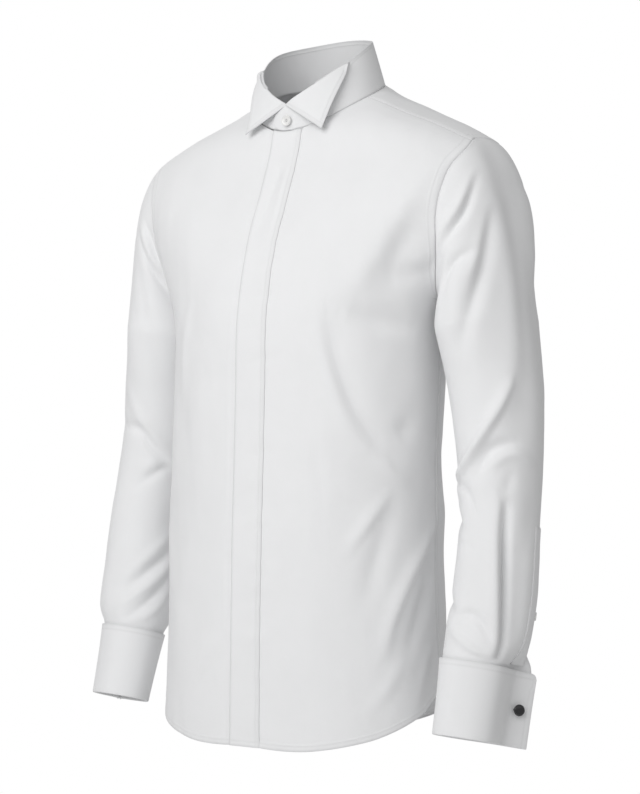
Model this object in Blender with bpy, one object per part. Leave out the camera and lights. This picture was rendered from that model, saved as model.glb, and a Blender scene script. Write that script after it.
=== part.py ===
"""Long sleeve dress shirt, filled out as if worn: wing collar, fly front and French cuffs.

Metres, +Z up, the front faces -Y and +X is the wearer's left. The origin is the middle of the
neck, level with the shoulder points of the collar seam. The body of the shirt is one surface of
rings, read at a turn (degrees round the body, 0 at the centre front, 90 at the wearer's left)
and a rise (the ring's number, counted up from the hem). Each panel is a patch of that surface.
"""

import math
from collections import namedtuple

import bmesh
import bpy
import numpy as np
from mathutils import Matrix, Vector

CLOTH = 0.0012
SEAM_GAP = 0.0003
BAND_CLOTH = 0.0010
COLLAR_CLOTH = 0.0014
PLACKET_HALF_WIDTH = 0.019
UNDERLAP_EDGE = 0.014
QUARTER_LEAN = 0.5
NECK_RISE = 8.0
UNDERARM_TURN = 101.0
YOKE_FRONT_NECK_TURN = 83.0

LEFT, RIGHT = 1, -1

# ---------------------------------------------------------------- body surface

TorsoRing = namedtuple(
    "TorsoRing", "level front_z side_z back_z width front_depth back_depth middle_y squareness"
)
TORSO_RINGS = (
    TorsoRing("hem", -0.745, -0.745, -0.745, 0.167, 0.112, 0.132, -0.029, 2.25),
    TorsoRing("hip", -0.600, -0.600, -0.600, 0.159, 0.110, 0.146, -0.029, 2.25),
    TorsoRing("waist", -0.450, -0.450, -0.450, 0.156, 0.106, 0.132, -0.028, 2.25),
    TorsoRing("ribs", -0.335, -0.335, -0.330, 0.156, 0.108, 0.132, -0.022, 2.30),
    TorsoRing("underarm", -0.250, -0.240, -0.230, 0.161, 0.112, 0.130, -0.014, 2.35),
    TorsoRing("chest", -0.170, -0.155, -0.140, 0.206, 0.117, 0.109, 0.010, 2.45),
    TorsoRing("armhole", -0.112, -0.098, -0.070, 0.228, 0.099, 0.098, 0.017, 2.60),
    TorsoRing("shoulder", -0.070, -0.060, -0.015, 0.205, 0.077, 0.091, 0.013, 2.40),
    TorsoRing("neck", -0.045, -0.002, 0.020, 0.073, 0.062, 0.082, 0.004, 2.00),
)
RING_TABLE = np.array([ring[1:] for ring in TORSO_RINGS])


def spline_rows(table, where):
    """Rows of a table read between its own rows, on a Catmull-Rom spline."""
    where = np.clip(np.asarray(where, float), 0.0, len(table) - 1.0)
    low = np.minimum(where.astype(int), len(table) - 2)
    part = (where - low)[..., None]
    before = table[np.maximum(low - 1, 0)]
    after = table[np.minimum(low + 2, len(table) - 1)]
    start, end = table[low], table[low + 1]
    first = np.where((low == 0)[..., None], end - start, (end - before) / 2)
    last = np.where((low == len(table) - 2)[..., None], end - start, (after - start) / 2)
    square, cube = part**2, part**3
    return (
        (2 * cube - 3 * square + 1) * start
        + (cube - 2 * square + part) * first
        + (3 * square - 2 * cube) * end
        + (cube - square) * last
    )


def ring_height(cosine, front_z, side_z, back_z):
    """Height along a tilted ring, given at its front, side and back."""
    tilt = (front_z - back_z) / 2
    bend = (front_z + back_z) / 2 - side_z
    return side_z + tilt * cosine + bend * cosine**2


def oval_radius(sine, cosine, width, front_depth, back_depth, squareness):
    """Polar radius of a rounded-square oval whose front and back depths differ."""
    depth = np.where(cosine > 0, front_depth, back_depth)
    total = np.abs(sine / width) ** squareness + np.abs(cosine / depth) ** squareness
    return total ** (-1 / squareness)


def torso(turn, rise):
    """Points of the body surface at these turns and rises."""
    turn, rise = np.broadcast_arrays(np.radians(turn), np.asarray(rise, float))
    front_z, side_z, back_z, width, front, back, middle, square = np.moveaxis(
        spline_rows(RING_TABLE, rise), -1, 0
    )
    sine, cosine = np.sin(turn), np.cos(turn)
    radius = oval_radius(sine, cosine, width, front, back, square)
    height = ring_height(cosine, front_z, side_z, back_z)
    return np.stack([radius * sine, middle - radius * cosine, height], axis=-1)


def turn_at_x(x, rise):
    """Turn, near the centre front, at which the body surface is x off the middle."""
    low, high = np.full(np.shape(rise), -60.0), np.full(np.shape(rise), 60.0)
    for _ in range(40):
        middle = (low + high) / 2
        inside = torso(middle, rise)[..., 0] < x
        low, high = np.where(inside, middle, low), np.where(inside, high, middle)
    return (low + high) / 2


# ---------------------------------------------------------------- seam lines

SeamPoint = namedtuple("SeamPoint", "place turn rise")
ARMHOLE_FRONT = (
    SeamPoint("underarm", UNDERARM_TURN, 4.00),
    SeamPoint("low", 86.0, 4.20),
    SeamPoint("front", 73.0, 4.80),
    SeamPoint("upper front", 69.5, 5.50),
    SeamPoint("high", 74.5, 6.40),
    SeamPoint("yoke seam", 84.5, 6.98),
)
ARMHOLE_YOKE = (
    SeamPoint("yoke seam", 84.5, 6.98),
    SeamPoint("shoulder", 95.0, 6.98),
    SeamPoint("behind shoulder", 107.0, 6.55),
    SeamPoint("back yoke seam", 113.0, 6.00),
)
ARMHOLE_BACK = (
    SeamPoint("back yoke seam", 113.0, 6.00),
    SeamPoint("blade", 117.0, 5.30),
    SeamPoint("low back", 115.0, 4.60),
    SeamPoint("behind", 107.0, 4.15),
    SeamPoint("underarm", UNDERARM_TURN, 4.00),
)
HemPoint = namedtuple("HemPoint", "place turn height")
HEM = (
    HemPoint("centre front", 0.0, -0.711),
    HemPoint("front", 35.0, -0.7115),
    HemPoint("front hip", 62.0, -0.699),
    HemPoint("front of the side", 86.0, -0.676),
    HemPoint("side", UNDERARM_TURN, -0.658),
    HemPoint("back of the side", 118.0, -0.672),
    HemPoint("back hip", 138.0, -0.698),
    HemPoint("back", 160.0, -0.714),
    HemPoint("centre back", 180.0, -0.716),
)
FRONT_YOKE_SEAM = (
    SeamPoint("neck", YOKE_FRONT_NECK_TURN, NECK_RISE),
    SeamPoint("middle", 83.8, 7.50),
    SeamPoint("armhole", 84.5, 6.98),
)
BACK_YOKE_SEAM = (
    SeamPoint("left armhole", 113.0, 6.00),
    SeamPoint("left blade", 135.0, 5.86),
    SeamPoint("centre back", 180.0, 5.80),
)


def places(rows):
    """The turn and rise columns of a table of seam points."""
    return np.array([[row.turn, row.rise] for row in rows])


def even_line(line, count, surface=torso):
    """count + 1 points along a line of turns and rises, evenly spaced on the surface."""
    fine = np.linspace(0, 1, 400)
    dense = line(fine)
    steps = np.linalg.norm(np.diff(surface(dense[:, 0], dense[:, 1]), axis=0), axis=1)
    length = np.concatenate([[0], np.cumsum(steps)])
    return line(np.interp(np.linspace(0, length[-1], count + 1), length, fine))


def through(rows):
    """A line through a table's seam points, as a function of 0 to 1."""
    table = places(rows)
    return lambda part: spline_rows(table, part * (len(table) - 1))


def rise_at(turn, height):
    """Rise at which the body surface, below the shoulders, has this height at this turn."""
    rises = np.linspace(0, 6.5, 400)
    return np.interp(height, torso(turn, rises)[:, 2], rises)


def hem_rise(turn):
    """Rise of the shirt-tail hem at a turn from 0 to 180."""
    table = np.array([row[1:] for row in HEM])
    part = np.interp(turn, table[:, 0], np.arange(len(table)))
    height = spline_rows(table, part)[..., 1]
    return np.vectorize(rise_at)(turn, height)


def side_seam(part):
    """The side seam, from the hem to the underarm."""
    start = float(hem_rise(UNDERARM_TURN))
    rise = start + part * (ARMHOLE_FRONT[0].rise - start)
    return np.stack([np.full_like(rise, UNDERARM_TURN), rise], axis=-1)


def hem_line(start, end):
    """The hem between two turns."""
    def line(part):
        turn = start + part * (end - start)
        return np.stack([turn, hem_rise(turn)], axis=-1)
    return line


def neck_line(start, end):
    """The neckline between two turns."""
    def line(part):
        turn = start + part * (end - start)
        return np.stack([turn, np.full_like(turn, NECK_RISE)], axis=-1)
    return line


# Segments along each seam. Pieces that meet share them, so their edges run side by side.
SIDE_SEGMENTS = 17
ARM_FRONT_SEGMENTS = 10
ARM_YOKE_SEGMENTS = 6
ARM_BACK_SEGMENTS = 10
HEM_FRONT_SEGMENTS = 12
NECK_FRONT_SEGMENTS = 6
SHOULDER_SEGMENTS = HEM_FRONT_SEGMENTS - NECK_FRONT_SEGMENTS
NECK_BACK_SEGMENTS = 14
BACK_SEGMENTS = 16


def joined(*lines):
    """Seam lines run end to end, with their shared points kept once."""
    return np.concatenate([lines[0]] + [line[1:] for line in lines[1:]])


def coons(bottom, top, left, right):
    """Patch between four edges, rows from bottom to top and columns from left to right."""
    across = np.linspace(0, 1, len(bottom))[None, :, None]
    up = np.linspace(0, 1, len(left))[:, None, None]
    sides = (1 - across) * left[:, None] + across * right[:, None]
    ends = (1 - up) * bottom[None] + up * top[None]
    corners = (1 - up) * ((1 - across) * bottom[0] + across * bottom[-1]) + up * (
        (1 - across) * top[0] + across * top[-1]
    )
    return sides + ends - corners


# ---------------------------------------------------------------- folds

Fold = namedtuple("Fold", "name path half_width depth")
# Paths are (turn, height) pairs. A positive depth is a ridge and a negative one a trough.
TORSO_FOLDS = (
    Fold("long trough", ((22, -0.235), (38, -0.36), (62, -0.43)), 0.024, -0.0055),
    Fold("short trough", ((34, -0.235), (52, -0.285), (72, -0.33)), 0.020, -0.0050),
    Fold("drag to the armhole", ((62, -0.17), (48, -0.20), (36, -0.245)), 0.022, 0.0030),
    Fold("side ridge", ((84, -0.47), (68, -0.56), (56, -0.62)), 0.026, 0.0045),
    Fold("waist trough", ((60, -0.49), (40, -0.54), (26, -0.60)), 0.026, -0.0035),
    Fold("hip ridge", ((58, -0.47), (42, -0.50), (30, -0.53)), 0.020, 0.0025),
    Fold("skirt trough", ((72, -0.60), (70, -0.66), (66, -0.70)), 0.020, -0.0030),
)
BACK_FOLDS = (
    Fold("left blade drag", ((118, -0.20), (140, -0.28), (158, -0.40)), 0.026, -0.0040),
    Fold("left waist ridge", ((108, -0.44), (130, -0.50), (150, -0.58)), 0.026, 0.0040),
    Fold("right blade drag", ((243, -0.21), (222, -0.30), (206, -0.43)), 0.024, -0.0045),
    Fold("right waist ridge", ((250, -0.46), (232, -0.52), (214, -0.57)), 0.028, 0.0035),
    Fold("small of the back", ((170, -0.42), (184, -0.50), (190, -0.60)), 0.028, -0.0040),
)
RIGHT_FRONT_FOLDS = (
    Fold("drag to the armhole", ((-62, -0.18), (-48, -0.22), (-36, -0.28)), 0.022, -0.0030),
    Fold("long trough", ((-58, -0.30), (-46, -0.42), (-40, -0.55)), 0.024, -0.0035),
    Fold("side ridge", ((-80, -0.42), (-66, -0.50), (-52, -0.60)), 0.024, 0.0035),
)


def fold_path(fold, surface_point, count=24):
    """Points of a fold's centre line on its surface."""
    table = np.array(fold.path, float)
    spots = spline_rows(table, np.linspace(0, len(table) - 1, count))
    return np.array([surface_point(first, second) for first, second in spots])


def fold_offsets(points, folds, surface_point):
    """How far each point stands off its smooth surface, from soft ridges and troughs."""
    flat = points.reshape(-1, 3)
    total = np.zeros(len(flat))
    for fold in folds:
        path = fold_path(fold, surface_point)
        distance = np.linalg.norm(flat[:, None] - path[None], axis=-1)
        nearest = distance.argmin(axis=1)
        along = nearest / (len(path) - 1)
        taper = np.sin(np.pi * np.clip(along * 0.9 + 0.05, 0, 1)) ** 0.7
        total += fold.depth * taper * np.exp(-((distance.min(axis=1) / fold.half_width) ** 2))
    return total.reshape(points.shape[:-1])


def torso_spot(turn, height):
    """Point of the body surface at a turn and a height."""
    return torso(turn, rise_at(turn, height))


def grid_normals(points, closed=False):
    """Unit normals of a grid of points, pointing out for columns that run to the left."""
    if closed:
        along = np.roll(points, -1, axis=1) - np.roll(points, 1, axis=1)
    else:
        along = np.gradient(points, axis=1)
    up = np.gradient(points, axis=0)
    normal = np.cross(along, up)
    return normal / np.maximum(np.linalg.norm(normal, axis=-1, keepdims=True), 1e-12)


def pull_in(points, edge, amount):
    """Move one edge of a grid back along its own rows or columns, to leave a seam's gap."""
    picks = {
        "bottom": (np.s_[0], np.s_[1]),
        "top": (np.s_[-1], np.s_[-2]),
        "left": (np.s_[:, 0], np.s_[:, 1]),
        "right": (np.s_[:, -1], np.s_[:, -2]),
    }
    border, inner = picks[edge]
    step = points[inner] - points[border]
    points[border] += amount * step / np.linalg.norm(step, axis=-1, keepdims=True)


# ---------------------------------------------------------------- meshes and materials

Finish = namedtuple("Finish", "name colour roughness metallic")
COTTON = Finish("white_cotton", (0.86, 0.86, 0.87), 0.85, 0.0)
SHIRT_BUTTON = Finish("white_button", (0.88, 0.87, 0.84), 0.30, 0.0)
BLACK_ENAMEL = Finish("black_enamel", (0.012, 0.012, 0.014), 0.18, 0.0)


def material_of(finish):
    """The Principled material of a finish, made once."""
    found = bpy.data.materials.get(finish.name)
    if found:
        return found
    material = bpy.data.materials.new(finish.name)
    material.use_nodes = True
    shader = material.node_tree.nodes["Principled BSDF"]
    shader.inputs["Base Color"].default_value = (*finish.colour, 1)
    shader.inputs["Roughness"].default_value = finish.roughness
    shader.inputs["Metallic"].default_value = finish.metallic
    return material


def add_object(name, mesh, finish):
    """A smooth-shaded object of this mesh, in the scene."""
    mesh.shade_smooth()
    mesh.set_sharp_from_angle(angle=math.radians(40))
    mesh.materials.append(material_of(finish))
    thing = bpy.data.objects.new(name, mesh)
    bpy.context.scene.collection.objects.link(thing)
    return thing


def grid_faces(rows, columns, closed):
    """Quads of a grid, counted row by row."""
    across = columns if closed else columns - 1
    return [
        (
            row * columns + column,
            row * columns + (column + 1) % columns,
            (row + 1) * columns + (column + 1) % columns,
            (row + 1) * columns + column,
        )
        for row in range(rows - 1)
        for column in range(across)
    ]


def add_sheet(name, points, faces, thickness):
    """A cloth piece: a sheet of middle points, given its thickness by Solidify."""
    mesh = bpy.data.meshes.new(name)
    mesh.from_pydata(points, [], faces)
    cloth = add_object(name, mesh, COTTON)
    wall = cloth.modifiers.new("wall", "SOLIDIFY")
    wall.thickness = thickness
    wall.offset = 0.0
    wall.use_even_offset = True
    wall.use_quality_normals = True
    return cloth


def add_cloth(name, points, thickness, closed=False):
    """A cloth piece from a grid of middle points."""
    faces = grid_faces(*points.shape[:2], closed)
    return add_sheet(name, points.reshape(-1, 3).tolist(), faces, thickness)


# ---------------------------------------------------------------- body panels

def body_seams():
    """Every seam of the wearer's left half, as points of turn and rise."""
    placket_rise = np.linspace(float(hem_rise(0.0)), NECK_RISE, 300)
    placket_line = np.stack([turn_at_x(PLACKET_HALF_WIDTH, placket_rise), placket_rise], axis=-1)

    def placket(part):
        return np.stack([np.interp(part, np.linspace(0, 1, 300), placket_line[:, k]) for k in (0, 1)], -1)

    neck_start, hem_start = placket_line[-1, 0], placket_line[0, 0]
    return {
        "placket": even_line(placket, SIDE_SEGMENTS + ARM_FRONT_SEGMENTS),
        "side": even_line(side_seam, SIDE_SEGMENTS),
        "arm front": even_line(through(ARMHOLE_FRONT), ARM_FRONT_SEGMENTS),
        "arm yoke": even_line(through(ARMHOLE_YOKE), ARM_YOKE_SEGMENTS),
        "arm back": even_line(through(ARMHOLE_BACK), ARM_BACK_SEGMENTS),
        "hem front": even_line(hem_line(hem_start, UNDERARM_TURN), HEM_FRONT_SEGMENTS),
        "hem back": even_line(hem_line(UNDERARM_TURN, 180.0), BACK_SEGMENTS // 2),
        "neck front": even_line(neck_line(neck_start, YOKE_FRONT_NECK_TURN), NECK_FRONT_SEGMENTS),
        "neck back": even_line(neck_line(YOKE_FRONT_NECK_TURN, 180.0), NECK_BACK_SEGMENTS // 2),
        "front yoke": even_line(through(FRONT_YOKE_SEAM), SHOULDER_SEGMENTS),
        "back yoke": even_line(through(BACK_YOKE_SEAM), BACK_SEGMENTS // 2),
    }


def mirrored(line):
    """A seam of the wearer's left, on the wearer's right, in the opposite order."""
    return np.stack([360 - line[::-1, 0], line[::-1, 1]], axis=-1)


def quarter_view(points):
    """Points as seen level from the wearer's front left: across and up."""
    return np.stack([points[..., 0] + QUARTER_LEAN * points[..., 1], points[..., 2]], axis=-1)


def seen_at(target, guess):
    """Turns and rises whose points are seen at these places, by Newton's method from a guess."""
    spots = guess.copy()
    for _ in range(20):
        seen = quarter_view(torso(spots[..., 0], spots[..., 1]))
        by_turn = (quarter_view(torso(spots[..., 0] + 0.01, spots[..., 1])) - seen) / 0.01
        by_rise = (seen - quarter_view(torso(spots[..., 0], spots[..., 1] - 0.0005))) / 0.0005
        miss = target - seen
        area = by_turn[..., 0] * by_rise[..., 1] - by_turn[..., 1] * by_rise[..., 0]
        turn = (miss[..., 0] * by_rise[..., 1] - miss[..., 1] * by_rise[..., 0]) / area
        rise = (by_turn[..., 0] * miss[..., 1] - by_turn[..., 1] * miss[..., 0]) / area
        spots[..., 0] += np.clip(turn, -6, 6)
        spots[..., 1] = np.clip(spots[..., 1] + np.clip(rise, -0.3, 0.3), 0, NECK_RISE)
    return spots


def front_patch(seams):
    """Turns and rises of the left front: three columns under the placket, then the rest."""
    right = joined(seams["side"], seams["arm front"])
    top = joined(seams["neck front"], seams["front yoke"])
    edges = (seams["hem front"], top, seams["placket"], right)
    seen = coons(*(quarter_view(torso(edge[:, 0], edge[:, 1])) for edge in edges))
    patch = seen_at(seen, coons(*edges))
    rise = seams["placket"][:, 1]
    lap = np.stack([np.stack([turn_at_x(x, rise), rise], -1)
                    for x in (-PLACKET_HALF_WIDTH, 0.0)], axis=1)
    return np.concatenate([lap, patch], axis=1)


def front_points(seams):
    """Middle points of the left front, with its folds."""
    patch = front_patch(seams)
    smooth = torso(patch[..., 0], patch[..., 1])
    return smooth + grid_normals(smooth) * fold_offsets(smooth, TORSO_FOLDS, torso_spot)[..., None]


def right_front_points(seams):
    """Middle points of the right front, sunk under the left front where they overlap."""
    patch = front_patch(seams)[:, 1:]
    rise = seams["placket"][:, 1]
    patch[:, 0, 0] = turn_at_x(-UNDERLAP_EDGE, rise)
    patch[:, 1, 0] = turn_at_x(PLACKET_HALF_WIDTH + 0.004, rise)
    patch[..., 0] *= -1
    patch = patch[:, ::-1]
    smooth = torso(patch[..., 0], patch[..., 1])
    offset = fold_offsets(smooth, RIGHT_FRONT_FOLDS, torso_spot)
    offset[:, -1] -= CLOTH + SEAM_GAP * 2
    offset[:, -2] -= CLOTH + SEAM_GAP * 2
    return smooth + grid_normals(smooth) * offset[..., None]


def build_fronts(seams):
    """Both fronts, and the fly placket laid over the left one's edge."""
    left = front_points(seams)
    band = left[:, :3] + grid_normals(left)[:, :3] * (CLOTH + BAND_CLOTH + 2 * SEAM_GAP) / 2
    right = right_front_points(seams)
    for points, outer in ((left, "right"), (right, "left")):
        pull_in(points, outer, SEAM_GAP)
        pull_in(points, "top", SEAM_GAP * 2)
    pull_in(band, "top", SEAM_GAP * 2)
    add_cloth("left_front", left, CLOTH)
    add_cloth("right_front", right, CLOTH)
    add_cloth("fly_placket", band, BAND_CLOTH)


def build_back(seams):
    """The back, from side seam to side seam, below the yoke."""
    left = joined(seams["side"], seams["arm back"][::-1])
    right = np.stack([360 - left[:, 0], left[:, 1]], axis=-1)
    bottom = joined(seams["hem back"], mirrored(seams["hem back"]))
    top = joined(seams["back yoke"], mirrored(seams["back yoke"]))
    patch = coons(bottom, top, left, right)
    smooth = torso(patch[..., 0], patch[..., 1])
    points = smooth + grid_normals(smooth) * fold_offsets(smooth, BACK_FOLDS, torso_spot)[..., None]
    for edge in ("left", "right", "top"):
        pull_in(points, edge, SEAM_GAP)
    add_cloth("back", points, CLOTH)


def build_yoke(seams):
    """The yoke: a strip from armhole to armhole behind the neck and over both shoulders."""
    outer = joined(seams["back yoke"], mirrored(seams["back yoke"]))
    inner = joined(seams["front yoke"][::-1], seams["neck back"])
    inner = joined(inner, mirrored(inner))
    count = len(inner) - 1

    def along_back(part):
        return np.stack([np.interp(part, np.linspace(0, 1, len(outer)), outer[:, k]) for k in (0, 1)], -1)

    bottom = even_line(along_back, count)
    left = seams["arm yoke"][::-1]
    right = np.stack([360 - left[:, 0], left[:, 1]], axis=-1)
    patch = coons(bottom, inner, left, right)
    points = torso(patch[..., 0], patch[..., 1])
    for edge in ("left", "right", "bottom", "top"):
        pull_in(points, edge, SEAM_GAP)
    add_cloth("yoke", points, CLOTH)


# ---------------------------------------------------------------- cuffs: sizes shared with sleeves

CUFF_HEIGHT = 0.079
CUFF_SEAM_HEIGHT = 0.069
CUFF_CLOTH = 0.0012
CUFF_LAYER_STEP = 0.0020
CUFF_TOP_FLARE = 0.0016
FIN_HEADING = math.radians(38)
CuffPose = namedtuple("CuffPose", "x y z lean_out lean_forward")
# Middle of each cuff's lower end, as on the left, and how far it leans for each metre down.
CUFF_POSES = {
    LEFT: CuffPose(0.2270, -0.0623, -0.6933, -0.0409, 0.2364),
    RIGHT: CuffPose(0.2324, -0.0598, -0.6867, 0.0369, 0.2750),
}
CuffPoint = namedtuple("CuffPoint", "place along across")
# Half of the closed cuff's outline, from the front of the wrist to the tips of the kissing ends.
CUFF_OUTLINE = (
    CuffPoint("wrist front", -0.0360, 0.0000),
    CuffPoint("front corner", -0.0300, 0.0185),
    CuffPoint("wrist side", -0.0110, 0.0310),
    CuffPoint("wrist back", 0.0110, 0.0318),
    CuffPoint("closing in", 0.0280, 0.0190),
    CuffPoint("root of the ends", 0.0385, 0.0062),
    CuffPoint("kissing", 0.0460, 0.0016),
    CuffPoint("tips", 0.0680, 0.0013),
)
CUFF_TAPER = (0.935, 1.010)
SLEEVE_TIP = 0.0615
SLEEVE_TIP_CORNER = (0.0607, 0.0013)


def unit(vector):
    """The vector at length 1."""
    return vector / np.linalg.norm(vector)


def cuff_frame(side):
    """Directions of a cuff, as on the left: up its axis, along its kissing ends, across them."""
    pose = CUFF_POSES[side]
    up = unit(np.array([-pose.lean_out, pose.lean_forward, 1.0]))
    heading = np.array([math.sin(FIN_HEADING), math.cos(FIN_HEADING), 0.0])
    along = unit(heading - heading.dot(up) * up)
    return up, along, np.cross(along, up)


def cuff_place(side, outline, height):
    """Points of (along, across) pairs at a height up a cuff, as on the left."""
    pose = CUFF_POSES[side]
    up, along, across = cuff_frame(side)
    size = CUFF_TAPER[0] + (CUFF_TAPER[1] - CUFF_TAPER[0]) * np.clip(height / CUFF_HEIGHT, 0, 1)
    outline = np.asarray(outline)
    reach = outline[..., 0:1] * np.where(outline[..., 0:1] < 0, size, 1.0)
    spread = outline[..., 1:2] * size
    return np.array([pose.x, pose.y, pose.z]) + height * up + reach * along + spread * across


# ---------------------------------------------------------------- sleeves

SleeveRing = namedtuple("SleeveRing", "level x y z across along")
# Rings down each arm, as on the left: middle, and half sizes across and along the walk.
SLEEVE_RINGS = {
    LEFT: (
        SleeveRing("below the armhole", 0.2110, 0.014, -0.262, 0.0475, 0.0740),
        SleeveRing("biceps", 0.2225, 0.012, -0.324, 0.0460, 0.0600),
        SleeveRing("above the elbow", 0.2295, 0.007, -0.380, 0.0435, 0.0525),
        SleeveRing("elbow", 0.2335, 0.002, -0.430, 0.0415, 0.0485),
        SleeveRing("forearm", 0.2355, -0.007, -0.490, 0.0405, 0.0465),
        SleeveRing("lower forearm", 0.2350, -0.016, -0.546, 0.0415, 0.0470),
        SleeveRing("above the cuff", 0.2325, -0.027, -0.590, 0.0412, 0.0460),
    ),
    RIGHT: (
        SleeveRing("below the armhole", 0.2095, 0.022, -0.262, 0.0465, 0.0720),
        SleeveRing("biceps", 0.2205, 0.020, -0.324, 0.0455, 0.0590),
        SleeveRing("above the elbow", 0.2265, 0.017, -0.380, 0.0430, 0.0520),
        SleeveRing("elbow", 0.2320, 0.009, -0.430, 0.0415, 0.0485),
        SleeveRing("forearm", 0.2355, -0.005, -0.490, 0.0405, 0.0465),
        SleeveRing("lower forearm", 0.2350, -0.014, -0.544, 0.0415, 0.0470),
        SleeveRing("above the cuff", 0.2330, -0.026, -0.586, 0.0412, 0.0455),
    ),
}
SLEEVE_SQUARENESS = 2.15
SLEEVE_END_SWELL = 0.06
CAP_ROWS = 7
ARM_ROWS = 15
CAP_LEAVES_TOP = np.array([0.70, 0.0, -0.38])
CAP_LEAVES_UNDERARM = np.array([0.72, 0.0, -0.62])
CAP_TRIM_TOP = 0.0006
CAP_TRIM_UNDERARM = 0.0013

# Paths are (degrees round the sleeve, height); 0 faces out, 90 faces front, 180 the body.
LEFT_SLEEVE_FOLDS = (
    Fold("cap drag", ((58, -0.115), (76, -0.152), (98, -0.190)), 0.011, -0.0035),
    Fold("front trough", ((86, -0.185), (104, -0.215), (112, -0.250)), 0.012, -0.0040),
    Fold("upper arm swell", ((40, -0.150), (44, -0.210), (50, -0.270)), 0.020, 0.0025),
    Fold("elbow ridge", ((30, -0.318), (66, -0.380), (122, -0.412)), 0.013, 0.0055),
    Fold("under the ridge", ((44, -0.380), (66, -0.402), (102, -0.436)), 0.012, -0.0050),
    Fold("elbow dent", ((24, -0.390), (16, -0.412), (8, -0.436)), 0.012, -0.0045),
    Fold("inner elbow", ((128, -0.428), (112, -0.450), (100, -0.470)), 0.010, -0.0035),
    Fold("cuff pleat", ((52, -0.450), (43, -0.540), (26, -0.618)), 0.009, -0.0060),
    Fold("front of the pleat", ((74, -0.500), (66, -0.560), (54, -0.612)), 0.012, 0.0030),
    Fold("small drag", ((128, -0.572), (112, -0.590), (96, -0.600)), 0.009, -0.0030),
    Fold("back of the elbow", ((-60, -0.360), (-90, -0.395), (-125, -0.410)), 0.016, 0.0045),
    Fold("behind the elbow", ((-70, -0.410), (-100, -0.432), (-135, -0.440)), 0.014, -0.0045),
)
RIGHT_SLEEVE_FOLDS = (
    Fold("cap crease", ((72, -0.132), (92, -0.166), (112, -0.196)), 0.010, -0.0035),
    Fold("second cap crease", ((62, -0.150), (86, -0.190), (116, -0.232)), 0.010, -0.0035),
    Fold("upper arm swell", ((52, -0.190), (72, -0.260), (100, -0.330)), 0.018, 0.0030),
    Fold("elbow ridge", ((66, -0.345), (98, -0.374), (136, -0.388)), 0.013, 0.0045),
    Fold("elbow trough", ((56, -0.376), (94, -0.398), (136, -0.408)), 0.012, -0.0055),
    Fold("forearm crease", ((94, -0.446), (128, -0.438), (158, -0.440)), 0.011, -0.0045),
    Fold("long cuff drag", ((72, -0.586), (120, -0.545), (166, -0.498)), 0.011, -0.0040),
    Fold("short cuff drag", ((100, -0.594), (138, -0.565), (172, -0.535)), 0.010, -0.0035),
    Fold("cuff pleat", ((20, -0.480), (14, -0.550), (8, -0.618)), 0.010, -0.0050),
    Fold("back of the elbow", ((-64, -0.370), (-96, -0.402), (-130, -0.412)), 0.016, 0.0045),
    Fold("behind the elbow", ((-60, -0.416), (-96, -0.440), (-138, -0.446)), 0.014, -0.0045),
)


def armhole_loop(seams):
    """Points round the left armhole, from the underarm up its front and down its back."""
    line = joined(seams["arm front"], seams["arm yoke"], seams["arm back"])[:-1]
    return torso(line[:, 0], line[:, 1])


def round_angles(loop):
    """Degrees round the sleeve for each point of the loop: 180 at the underarm, 0 at the top."""
    steps = np.linalg.norm(np.roll(loop, -1, axis=0) - loop, axis=1)
    part = np.concatenate([[0], np.cumsum(steps)[:-1]]) / steps.sum()
    return 180 - 360 * part


def sleeve_ring(row, heading, angles):
    """Points of one ring of the left sleeve, square to the arm."""
    middle = np.array([row.x, row.y, row.z])
    back = unit(np.array([0.0, 1.0, 0.0]) - heading[1] * heading)
    out = np.cross(heading, back)
    turn = np.radians(angles)[:, None]
    sine, cosine = np.sin(turn), np.cos(turn)
    radius = oval_radius(cosine, sine, row.across, row.along, row.along, SLEEVE_SQUARENESS)
    return middle + radius * (cosine * out - sine * back)


def sleeve_end_ring(side, count, tip, height, swell):
    """The sleeve's end inside the cuff: the cuff's outline, closed just short of its tips."""
    half = np.array([row[1:] for row in CUFF_OUTLINE[:7]] + [SLEEVE_TIP_CORNER])
    fine = spline_rows(half, np.linspace(0, len(half) - 1, 300))
    outline = np.concatenate([fine[::-1], fine[1:] * [1, -1]])
    outline[:, 1] *= 1 + swell
    steps = np.linalg.norm(np.diff(outline, axis=0), axis=1)
    length = np.concatenate([[0], np.cumsum(steps)])
    even = np.linspace(0, length[-1], count - 1)
    spots = np.stack([np.interp(even, length, outline[:, k]) for k in (0, 1)], axis=-1)
    ring = np.concatenate([[[SLEEVE_TIP, 0.0]], spots])
    return cuff_place(side, ring[(tip - np.arange(count)) % count], height)


def tip_column(angles):
    """Column of the sleeve that runs down to the tips of the cuff's ends."""
    return int(np.abs(angles + 90 - math.degrees(FIN_HEADING)).argmin())


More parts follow.
